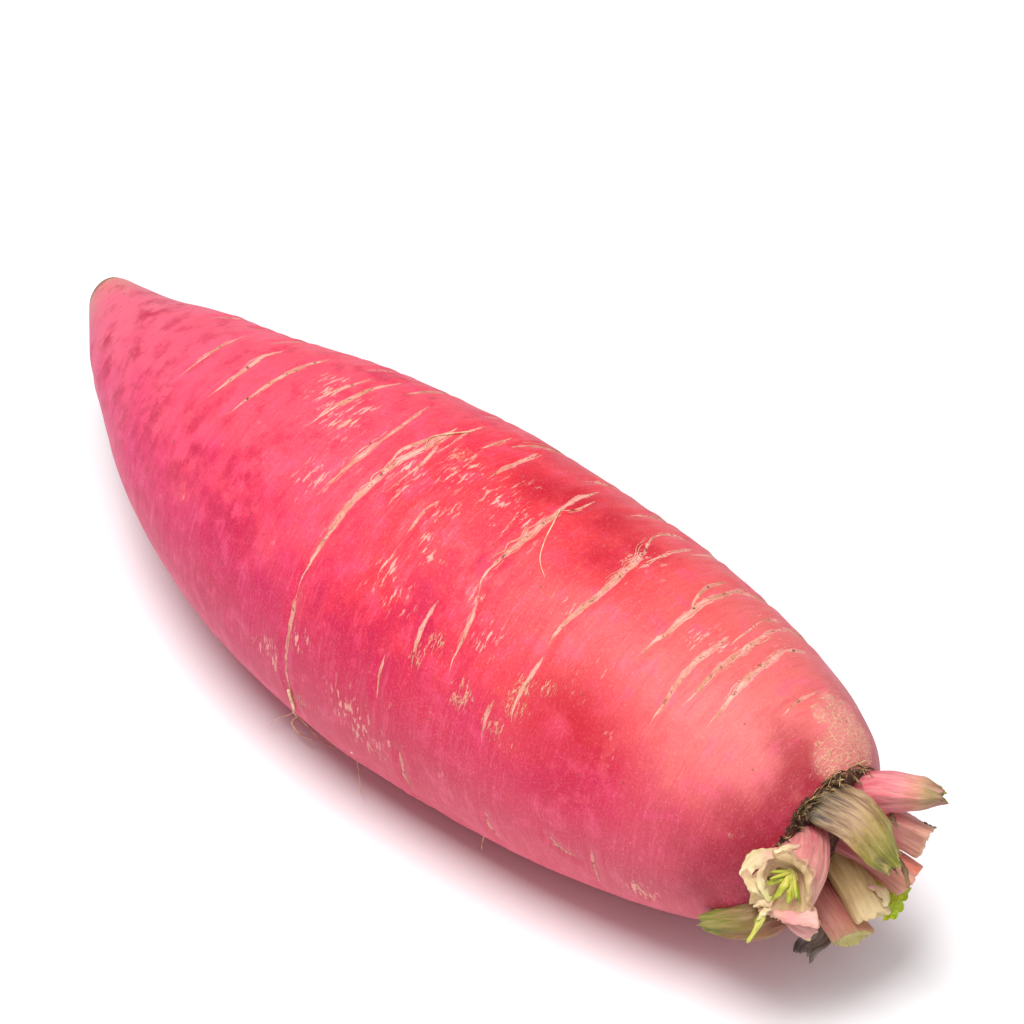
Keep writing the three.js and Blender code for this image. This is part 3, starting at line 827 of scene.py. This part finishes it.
# The material of one stalk: colours along it, streaks and blotches, and its cut end
def makeStalkMaterial(name, look):
    look = {**stalkLook, **look}
    material, tree, surface = newMaterial(name, look["roughness"], look["softness"], 0.0015)
    group = addNode("ShaderNodeGroup", {}, tree, node_tree=fibreGroup)
    tree.links.new(readAttribute(tree, "fibre", "Vector"), group.inputs["Fibre"])
    group.inputs["Coarse"].default_value = look["coarse"]
    streak, blotch, dots, height = (group.outputs[label]
                                    for label in ("Streak", "Blotch", "Dots", "Height"))
    lengthwise = plus(readAttribute(tree, "lengthwise"), swing(height, look["uneven"], 0.75))
    colour = blend(times(streak, look["streaks"]), rampOver(lengthwise, look["along"]), look["streak"])
    colour = blend(times(blotch, look["blotches"]), colour, look["blotch"])
    flesh = blend(times(blotch, 0.7), look["cut"], look["cutShade"])
    flesh = blend(times(dots, 0.55), flesh, look["cutDots"])
    cut = readAttribute(tree, "cutFace")
    rim = times(times(cut, calculate("SUBTRACT", 1.0, cut)), 3.2)
    colour = blend(times(rim, 0.7), blend(cut, colour, flesh), look["rim"])
    dress(tree, surface, colour, height, look["relief"], 0.0006)
    return material


# One stalk, in the shape of its solid in the frame, with finer ribs, wrinkles and a torn cut end
def makeStalk(name, stalk):
    stalk = {**stalkForm, **stalk}
    line = stalkLine(stalk)
    length = float(np.sum(lineSteps(line)))
    dish = stalk["dish"] / length
    chain = [(0, 0), (0.5, 0)] + [(1, a) for a in np.linspace(0, 0.97, stalk["steps"])] + [(0.985, 0.988)]
    chain += [(r, 1 - depth * dish) for r, depth in stalkEnd]
    bm, share, out, turn = spinChain(chain, stalk["sides"])
    ribbed = 1 + stalk["ribHeight"] * np.cos(stalk["ribs"] * turn) + 0.015 * np.cos(17 * turn + 3 * share)
    seed = stalk["seed"]
    rough = np.array([noise.fractal(Vector((seed + 1.7 * math.sin(t), 1.7 * math.cos(t), s * length / 9)),
                                    1.0, 2.0, 3) for t, s in zip(turn, share)])
    jag = np.array([noise.fractal(Vector((seed + 9 + 1.5 * math.sin(t), 1.5 * math.cos(t), 0)), 0.7, 2.0, 5)
                    for t in turn])
    width, thick = through(stalk["width"], share) / 2, through(stalk["thick"], share) / 2
    pinch = 1 - stalk["pinch"] * smoothStep(share, 0.8, 1.0)
    across, height = (out * (ribbed * wide * pinch + stalk["wrinkle"] * rough) * way
                      for wide, way in ((width, np.sin(turn)), (thick, np.cos(turn))))
    height = height - stalk["channel"] * out * out * np.sin(turn) ** 2
    end = smoothStep(share, 0.5, 1) * (stalk["slant"][0] * across + stalk["slant"][1] * height)
    end = end + stalk["tear"] * jag * smoothStep(share, 0.8, 1) * smoothStep(out, 0.3, 0.9)
    places = besideLine(line, stalk.get("faces", (0, *stalk["base"])), share, across, height, end)
    places[:, 2] = np.maximum(places[:, 2], 0.3)
    writePlaces(bm, places)
    fibre = np.stack([out * width * np.sin(turn), out * thick * np.cos(turn), share * length], -1) / 10
    values = {"fibre": fibre + seed * 3.7, "lengthwise": share,
              "cutFace": ((share > 0.4) & (out < 0.93)).astype(float)}
    material = makeStalkMaterial(name + "Skin", stalk["look"])
    finishPiece(bm, name, material, (frameName(name),), values)


# What most stalks share: their form, the cut end's face as (distance out, share of the dish) and the look
stalkForm = {"steps": 56, "sides": 72, "wrinkle": .25, "pinch": 0.0, "ribs": 4, "ribHeight": .03,
             "slot": "stalk_pink", "look": {}}
stalkEnd = [(0.94, 0), (0.88, .04), (0.82, .1), (0.7, .38), (0.55, .66), (0.41, .8), (0.2, .95), (0, 1)]
stalkLook = {
    "along": [(0, "a83a4c"), (.25, "cf6470"), (.6, "dc8086"), (.9, "d89488"), (1, "b88a66")],
    "streak": "eab0a8", "streaks": .4, "blotch": "b84c5c", "blotches": .35,
    "cut": "e6cf9e", "cutShade": "c9a96c", "cutDots": "94703f", "rim": "a67c4e",
    "roughness": .5, "softness": .12, "coarse": 1.0, "uneven": .3, "relief": .6,
}
# Each stalk in millimetres: its base on the crown (across, up), its tip from the crown's middle (along,
# across, up), the sag of its middle, and its width and thickness at the start, the middle and the end
stalkValues = {
    "upperStalk": {
        "base": (10.5, 8), "tip": (16.5, 17, 15.5), "sag": (0, -.3, .6), "width": (9.6, 10.4, 7.4),
        "thick": (7.4, 8.4, 5), "channel": .6, "dish": .8, "slant": (.2, 0), "ribs": 6, "tear": 1.3,
        "wrinkle": .3, "pinch": .35, "seed": 2, "look": {"along": [(0, "a03040"), (.3, "d05868"),
        (.62, "d87880"), (.78, "c08468"), (.86, "94804a"), (1, "705c30")], "cut": "94803f",
        "cutShade": "705c30", "cutDots": "46341c", "rim": "5c4824"}},
    "channelledStalk": {
        "base": (11.5, 1), "tip": (14, 17, 0), "sag": (0, .4, .5), "width": (8.6, 9.2, 10.2),
        "thick": (5.2, 5.2, 5.2), "channel": 2.4, "dish": .7, "slant": (.12, 0), "tear": .9, "seed": 3,
        "look": {"along": [(0, "9a4640"), (.3, "cc7468"), (.7, "dc948a"), (1, "d0a080")]}},
    "roundStalk": {
        "slot": "stalk_coral", "base": (11, -7.5), "tip": (13, 15.5, -11.5), "sag": (0, 0, .4),
        "width": (4.8, 5, 5.2), "thick": (5.2, 5.4, 5.6), "channel": .2, "dish": -.6, "slant": (.05, 0),
        "ribHeight": .02, "tear": .3, "wrinkle": .12, "seed": 4, "look": {"along": [(0, "b03c34"),
        (.6, "dc6a50"), (1, "de7e60")], "cut": "e08a68", "cutShade": "cc6048", "cutDots": "a84834",
        "rim": "c46c48"}},
    "middleStalk": {
        "base": (4, -2), "tip": (15, 10.5, -9), "sag": (0, 0, .8), "width": (6, 6.2, 6),
        "thick": (5, 5, 4.8), "channel": .6, "dish": .5, "slant": (.1, 0), "tear": .6, "seed": 5,
        "look": {"along": [(0, "9c3c48"), (.5, "c86c64"), (1, "c88c74")]}},
    "creamStalk": {
        "slot": "stalk_cream", "base": (3, -6), "tip": (14, 1, -13), "sag": (.4, 0, .8),
        "width": (7.6, 8, 8.4), "thick": (6.6, 6.8, 7), "channel": .3, "dish": .9, "slant": (.15, 0),
        "ribs": 5, "tear": 1.3, "seed": 6, "look": {"along": [(0, "6c4828"), (.2, "96703e"), (.6, "bc9a66"),
        (1, "d8c094")], "streak": "d8c090", "blotch": "a07a46", "cut": "dcc898", "cutShade": "a8844c",
        "cutDots": "74502a", "rim": "b8945a"}},
    "lowStalk": {
        "base": (-2.5, -12), "tip": (13, -4, -17), "sag": (0, -.4, .6), "width": (9, 10, 11),
        "thick": (5.6, 5.6, 5.4), "channel": 1.4, "dish": .8, "slant": (.3, 0), "ribs": 5, "tear": 1.1,
        "seed": 7, "look": {"along": [(0, "7c2c34"), (.35, "a8504e"), (.75, "b87066"), (1, "a8845e")],
        "streak": "d09c88", "cut": "bcb070", "cutShade": "8c8444", "cutDots": "544a22"}},
    "backStalk": {
        "base": (14.5, -2), "tip": (5, 20, -4), "sag": (0, .4, .4), "width": (6.4, 6, 5.2),
        "thick": (4.4, 4.2, 3.6), "channel": .8, "dish": .6, "slant": (.2, 0), "ribs": 5, "ribHeight": .04,
        "tear": 1.4, "seed": 8},
    "lowBackStalk": {
        "base": (11, -12), "tip": (5, 13.5, -15), "sag": (0, 0, .3), "width": (6.4, 6, 5.6),
        "thick": (4, 4, 3.6), "channel": 1, "dish": .7, "slant": (.2, 0), "ribs": 5, "ribHeight": .04,
        "tear": 1.4, "seed": 9, "look": {"along": [(0, "7c3640"), (.6, "c46c70"), (1, "b08860")]}},
    "foldedStalk": {
        "slot": "stalk_olive", "base": (-12.5, -9), "tip": (-7.9, -27.9, -11.4), "sag": (4, -1, 2.5),
        "faces": (.6, -.3, .75), "width": (8, 8.8, 3.4), "thick": (2.4, 2.2, 1.5), "channel": .8, "dish": 0,
        "slant": (.2, 0), "ribHeight": .05, "tear": 1.6, "wrinkle": .7, "seed": 10,
        "look": {"along": [(0, "904c50"), (.35, "98644e"), (.6, "7a6634"), (.85, "666e22"), (1, "627418")],
        "streak": "b49468", "streaks": .5, "blotch": "945048", "blotches": .55, "cut": "8c8c40",
        "cutShade": "70702c", "cutDots": "545424", "rim": "687020"}},
    "curledDryStalk": {
        "slot": "dry_grey", "base": (-4, -15), "tip": (5.5, -9.5, -24), "sag": (2.6, 0, -1),
        "width": (5.4, 6.4, 5.4), "thick": (4.2, 4.6, 3.6), "channel": 1.1, "dish": 1.2, "slant": (-.2, 0),
        "ribHeight": .08, "tear": 1.6, "wrinkle": .5, "seed": 11, "look": {"along": [(0, "3e302a"),
        (.5, "7c6c60"), (1, "584a42")], "streak": "a4978a", "blotch": "4c4440", "blotches": .6,
        "cut": "3c3430", "cutShade": "5c5450", "cutDots": "2a2422", "rim": "8f8880", "softness": 0.0}},
    "pinkShred": {
        "base": (-15, -8), "tip": (8.5, -11, -13), "sag": (1.5, -1.5, .5), "faces": (.6, -.5, .6),
        "width": (3.4, 2.8, 5.2), "thick": (1.8, 1.6, 1.5), "channel": .3, "dish": 0, "slant": (-.25, 0),
        "ribs": 3, "ribHeight": .05, "tear": 1.4, "wrinkle": .3, "seed": 12,
        "look": {"along": [(0, "b08470"), (.5, "c88880"), (1, "e0aaa0")]}},
    "flaredStalk": {
        "base": (-7.5, 8), "tip": (5.2, -19, 4), "sag": (2.5, 0, 2), "faces": (.4, -.2, .9),
        "width": (9.5, 10.5, 15.5), "thick": (6.4, 7, 13), "channel": .3, "dish": 5.5, "slant": (-.1, -1.1),
        "ribHeight": .04, "tear": 2.4, "wrinkle": .45, "sides": 96, "steps": 70, "seed": 13,
        "look": {"along": [(0, "94303e"), (.25, "c4646c"), (.7, "c87e78"), (.92, "bc8c72"), (1, "ae9664")],
        "streak": "dcae98", "cut": "d8b888", "cutShade": "c08470", "cutDots": "a09448", "rim": "dcc692"}},
    "witheredStalk": {
        "slot": "withered", "base": (-2, 15.5), "tip": (16.5, 3.5, 5.5), "sag": (0, 0, 3),
        "width": (11, 11.8, 8.8), "thick": (3.4, 3.8, 2.8), "channel": 1.5, "dish": .6, "slant": (.3, .2),
        "ribs": 5, "ribHeight": .07, "tear": 2.2, "wrinkle": .5, "pinch": .3, "sides": 110, "steps": 80,
        "seed": 14, "look": {"along": [(0, "201814"), (.2, "3a2c24"), (.34, "80604a"), (.48, "a8846a"),
        (.6, "a0844c"), (.74, "847a28"), (.92, "6c7210"), (1, "a89c4c")], "uneven": .5, "streak": "ceb484",
        "streaks": .42, "blotch": "6c563c", "blotches": .5, "cut": "96904a", "cutShade": "747230",
        "cutDots": "504e20", "rim": "b4aa6c", "relief": .9, "coarse": 1.3, "softness": .05}},
}
for stalkName, stalkGiven in stalkValues.items():
    makeStalk(stalkName, stalkGiven)
print("stalks finished:", len(stalkValues))


# A thin blade along a line, lobed and ruffled at its edges, added to a mesh
def addBlade(total, line, faces, width, thickness, steps=14, sides=8, lobes=0, lobeDepth=0.0, ruffle=0.0,
             wave=0.0):
    line = curveThrough(line, 101)
    chain = [(0, 0), (1, 0)] + [(1, i / steps) for i in range(1, steps)] + [(0.6, 1), (0, 1)]
    bm, share, out, turn = spinChain(chain, sides)
    lobeTurn = math.tau * lobes * share
    lobed = 1 + lobeDepth * (np.cos(lobeTurn) + 0.4 * np.cos(3.3 * lobeTurn))
    across = out * np.sin(turn) * lobed * through(width, share) / 2
    height = out * np.cos(turn) * thickness / 2 + wave * share * np.sin(lobeTurn + across)
    height = height + ruffle * (out * np.sin(turn)) ** 2 * np.sin(19 * share + 2 * np.sign(across))
    writePlaces(bm, besideLine(line, faces, share, across, height, 0.0))
    mesh = bpy.data.meshes.new("blade")
    bm.to_mesh(mesh)
    bm.free()
    total.from_mesh(mesh)
    bpy.data.meshes.remove(mesh)
    return share, np.stack([across, height, share * np.sum(lineSteps(line))], -1) / 10


# Several blades as one piece. Each is a line, the way it faces, its width, thickness, tone and form.
def makeBlades(name, blades, look, standsFor=()):
    total = bmesh.new()
    lengthwise, fibre = [], []
    for number, (line, faces, width, thickness, tone, form) in enumerate(blades):
        share, spread = addBlade(total, line, faces, width, thickness, **form)
        lengthwise.append(share + tone)
        fibre.append(spread + number * 0.9)
    lengthwise = np.clip(np.concatenate(lengthwise), 0, 1)
    values = {"lengthwise": lengthwise, "fibre": np.vstack(fibre), "cutFace": np.zeros(len(lengthwise))}
    finishPiece(total, name, makeStalkMaterial(name + "Skin", look), standsFor, values)


leafLook = {
    "along": [(0, "e0d87c"), (.35, "c8d634"), (.8, "b4d220"), (1, "a2c81a")], "streak": "e8ee74",
    "streaks": .45, "blotch": "86a81a", "blotches": .4, "roughness": .42, "softness": .2,
}
budLook = {**leafLook, "along": [(0, "c8b468"), (.4, "b0a838"), (.8, "9ca42a"), (1, "88981e")],
           "streak": "d8cc70"}
youngLeafValues = {
    "base": (8, -13), "tip": (12, 13, -18.5), "sag": (0, 1, .5), "width": (2, 6.6, 6), "thickness": .9,
    "form": {"lobes": 3, "lobeDepth": .16, "wave": .9, "ruffle": .5, "steps": 60, "sides": 32},
    "extra": [((878, 893), (892, 895), (908, 895)), ((876, 900), (888, 904), (904, 907)),
              ((880, 906), (889, 911), (898, 915))],
    "extraWidth": (2, 4, 1.6), "extraThickness": .5,
    "extraForm": {"lobes": 2, "lobeDepth": .2, "ruffle": .6, "steps": 24, "sides": 12},
}


def makeYoungLeaf():
    values = youngLeafValues
    blades = [(stalkLine(values)[::20], (0, *values["base"]), values["width"], values["thickness"], 0.0,
               values["form"])]
    near = crownMiddle + np.array(values["tip"])
    facing = cameraBack + cameraUp * 0.4
    for number, pixels in enumerate(values["extra"]):
        line = [placeAtPixel(x, y, near, 3 + 0.6 * number) for x, y in pixels]
        blades.append((line, facing, values["extraWidth"], values["extraThickness"], 0.0,
                       values["extraForm"]))
    makeBlades("youngLeaf", blades, leafLook, ("young_leaf",))


budValues = {
    # Three leaves: where each ends, across, up and out from the rim's middle, and how far it bends
    "leaves": [(-3.2, .6, 1.6, .6), (-.4, 1.2, 2.4, .9), (2.8, .4, 1.2, .5)],
    "width": (1.1, 1.7, .6), "thickness": .7, "form": {"ruffle": .35, "steps": 30, "sides": 14},
    "shreds": 9, "shredWidth": (.5, .8, .4), "shredThickness": .4,
    "sprigOver": (1.2, -3.5), "sprigReach": (-2.5, -4, -9), "sprigWidth": (1, 1.1, .9),
    "sprigThickness": .8, "sprigForm": {"steps": 30, "sides": 12}, "seed": 21,
}


def makeBudLeaves():
    values = budValues
    chance = random.Random(values["seed"])
    stalk = stalkValues["flaredStalk"]
    line = stalkLine(stalk)
    forwards, sideways, upwards = (way[-1] for way in lineWays(line, stalk["faces"]))
    rim, faces = line[-1], stalk["faces"]
    bottom = rim + forwards * (1 - stalk["dish"])
    blades = []
    for across, up, out, bend in values["leaves"]:
        end = rim + sideways * across + upwards * up + forwards * out
        middle = (bottom + end) / 2 + upwards * bend
        line = [bottom + sideways * across / 5, middle, end]
        blades.append((line, faces, values["width"], values["thickness"], 0.0, values["form"]))
    for _ in range(values["shreds"]):
        end = (rim + sideways * chance.uniform(-5, 5) + upwards * chance.uniform(-2, 3)
               + forwards * chance.uniform(-1.5, 1))
        middle = (bottom + end) / 2 + upwards * chance.uniform(0, 1)
        tone = chance.uniform(-.4, .3)
        blades.append(([bottom, middle, end], faces, values["shredWidth"], values["shredThickness"], tone,
                       {}))
    over = rim + forwards * values["sprigOver"][0] + upwards * values["sprigOver"][1]
    line = [bottom, over, over + np.array(values["sprigReach"])]
    blades.append((line, faces, values["sprigWidth"], values["sprigThickness"], 0.0,
                   values["sprigForm"]))
    makeBlades("budLeaves", blades, budLook, ("bud_leaves",))


makeYoungLeaf()
makeBudLeaves()
print("leaves finished")

# Dry scales and fibres round the collar, and torn paper at the cut ends
scrapValues = {
    "seed": 31,
    "thickness": .4,  # at most
    # Turns from the top in degrees, count, radius beside the crown's, length, width, turn aside and tones
    "rings": [
        ((-60, 125), 46, (-2.6, .2), (1.2, 3.2), (.3, 1.1), .8, (-.7, -.5, -.35, -.2)),
        ((-45, 35), 40, (-.8, 1), (2, 5), (.16, .34), 2.4, (-.5, -.3, -.1, .1)),
        ((62, 104), 34, (-3, .6), (1.4, 4), (.3, 1), 1.2, (-.6, -.4, -.2, -.1, .1)),
        ((10, 60), 22, (-2, .9), (1.4, 3.6), (.3, .9), .8, (-.9, -.8, -.6)),
        ((-180, 180), 34, (-3, .2), (1.2, 3.4), (.3, 1.1), .8, (-.7, -.4, -.2)),
    ],
    # Pixels, millimetres nearer than the crown's middle, and width
    "fibres": [
        ([(897, 856), (903, 866), (907, 878), (908, 888)], 9, (.8, 1.2, .6)),
        ([(889, 860), (894, 868), (899, 876)], 10, (.5, .6, .3)),
        ([(891, 811), (893, 819), (897, 827)], 4, (.8, 1.1, .6)),
        ([(924, 822), (930, 826), (937, 828)], .5, (.4, .5, .3)),
    ],
    "papers": [
        ([(778, 852), (762, 856), (750, 865), (744, 878)], 17, (1.6, 3.6, 2)),
        ([(744, 870), (749, 880), (758, 888), (768, 896)], 17.5, (1.2, 2.8, 1.4)),
        ([(766, 862), (760, 874), (762, 888), (770, 902)], 18.5, (.6, 1.5, .8)),
        ([(800, 846), (786, 848), (774, 853)], 18, (.8, 1.4, .6)),
        ([(772, 905), (762, 903), (753, 907)], 18.5, (1.6, 1.4, .3)),
        ([(770, 906), (763, 913), (757, 921)], 18.5, (1.6, 1.2, .3)),
        ([(868, 886), (878, 889), (886, 897), (884, 907)], 1.5, (.8, 2.2, .8)),
    ],
    "flap": [([(760, 906), (778, 914), (800, 919), (818, 917)], 17, (2.2, 2.4, 5))],
    "sprig": [([(770, 896), (765, 910), (757, 927), (747, 943)], 18, (.9, 1.4, .5))],
}
scrapLook = {
    "along": [(0, "1e140e"), (.25, "4a3424"), (.5, "84643c"), (.72, "b0905e"), (.95, "d0b888"),
              (1, "dcc8a0")],
    "streak": "b89868", "streaks": .3, "blotch": "4a3622", "blotches": .4, "softness": 0.0, "uneven": .4,
}
paperLook = {
    "along": [(0, "c89888"), (.3, "d4b890"), (.7, "dccaa0"), (1, "c8bc84")], "streak": "a4a44c",
    "streaks": .4, "blotch": "b48c68", "blotches": .5, "softness": .15, "uneven": .5,
}


def makeCollar():
    chance = random.Random(scrapValues["seed"])
    crownRadius = rootValues["outline"][-1][1] * rootRadius
    blades = []
    for turns, count, radii, lengths, widths, aside, tones in scrapValues["rings"]:
        for _ in range(count):
            turn = math.radians(chance.uniform(*turns))
            radius = crownRadius + chance.uniform(*radii)
            start = placeOnRoot(rootLength - chance.uniform(-0.2, 1.4), -radius * math.sin(turn),
                                radius * math.cos(turn))
            outward = np.array([0, -math.sin(turn), math.cos(turn)])
            girth = np.array([0, -math.cos(turn), -math.sin(turn)])
            reach = chance.uniform(*lengths)
            way = np.array([chance.uniform(0.1, 1), 0, 0]) + outward * chance.uniform(-0.2, 0.4)
            way = way + girth * aside * chance.uniform(-1, 1)
            way /= np.linalg.norm(way)
            middle = start + way * reach * 0.5 + outward * chance.uniform(0, 0.7)
            end = start + way * reach + outward * chance.uniform(-0.6, 0.5)
            wide = chance.uniform(*widths)
            tone = chance.choice(tones)
            form = {"ruffle": chance.uniform(0, .5), "steps": 8, "sides": 6}
            blades.append(([start - way, middle, end], outward + 0.3 * way, (wide * .7, wide, wide * .25),
                           min(scrapValues["thickness"], wide), tone, form))
    makeBlades("collarScraps", blades, scrapLook)


def makeTornPieces(name, given, look, thickness, ruffle):
    form = {"ruffle": ruffle, "steps": 30, "sides": 16, "lobes": 2, "lobeDepth": .14}
    blades = []
    for number, (pixels, nearer, width) in enumerate(given):
        line = [placeAtPixel(x, y, crownMiddle, nearer) for x, y in pixels]
        blades.append((line, cameraBack + cameraUp * 0.4, width, thickness, 0.12 * (number % 3 - 1), form))
    makeBlades(name, blades, look)


makeCollar()
for name, slotName, label, look, thickness, ruffle in (
    ("dryFibres", "withered", "fibres", {**scrapLook, "along": [(0, "4c3828"), (1, "8c7048")]}, .45, .3),
    ("tornPaper", "stalk_cream", "papers", paperLook, .3, .28),
    ("pinkFlap", "stalk_pink", "flap",
     {"along": [(0, "c8a080"), (.4, "cf8c88"), (.8, "cfa294"), (1, "d8bc98")]}, .6, .3),
    ("greenSprig", "young_green", "sprig", {**leafLook, "along": [(0, "cac070"), (1, "a4a834")]}, .8, .2),
):
    makeTornPieces(name, scrapValues[label], look, thickness, ruffle)
print("scraps finished")

# The floor, the lights and the camera
stageValues = {
    "floorHalf": 3.0, "floorColour": (0.93, 0.925, 0.93, 1.0), "skyColour": (0.95, 0.96, 1.0, 1.0),
    "skyStrength": 0.22, "keyPlace": (0.05, -0.26, 1.08), "keySize": 0.56, "keyPower": 13.6,
    "fillPlace": (0.62, -0.12, 0.9), "fillSize": 0.8, "fillPower": 4.2, "lampsFace": (0, 0, 0.04),
}


# Stands a lamp or the camera at a place, facing away from a direction
def standAt(name, data, place, back):
    made = bpy.data.objects.new(name, data)
    made.location = place
    made.rotation_mode = "QUATERNION"
    made.rotation_quaternion = Vector(back).to_track_quat("Z", "Y")
    scene.collection.objects.link(made)
    return made


def makeStage():
    bm = bmesh.new()
    bmesh.ops.create_grid(bm, x_segments=4, y_segments=4, size=stageValues["floorHalf"])
    mesh = bpy.data.meshes.new("floor")
    bm.to_mesh(mesh)
    bm.free()
    floor = bpy.data.objects.new("floor", mesh)
    scene.collection.objects.link(floor)
    material, _, surface = newMaterial("whitePaper", 0.9)
    surface.inputs["Base Color"].default_value = stageValues["floorColour"]
    surface.inputs["Specular IOR Level"].default_value = 0.0
    mesh.materials.append(material)
    world = bpy.data.worlds.new("studio")
    world.use_nodes = True
    world.node_tree.nodes["Background"].inputs["Color"].default_value = stageValues["skyColour"]
    world.node_tree.nodes["Background"].inputs["Strength"].default_value = stageValues["skyStrength"]
    scene.world = world
    for label in ("key", "fill"):
        lamp = bpy.data.lights.new(label + "Light", "AREA")
        lamp.energy = stageValues[label + "Power"]
        lamp.size = stageValues[label + "Size"]
        place = Vector(stageValues[label + "Place"])
        standAt(label + "Light", lamp, place, place - Vector(stageValues["lampsFace"]))
    camera = bpy.data.cameras.new("camera")
    camera.sensor_width = cameraValues["sensor"]
    camera.lens = cameraValues["focalPixels"] / cameraValues["imageSide"] * cameraValues["sensor"]
    camera.clip_start, camera.clip_end = 0.05, 20.0
    scene.camera = standAt("camera", camera, cameraPlace * millimetre, cameraBack)
    scene.view_settings.view_transform = "Standard"


makeStage()
print("stage set")
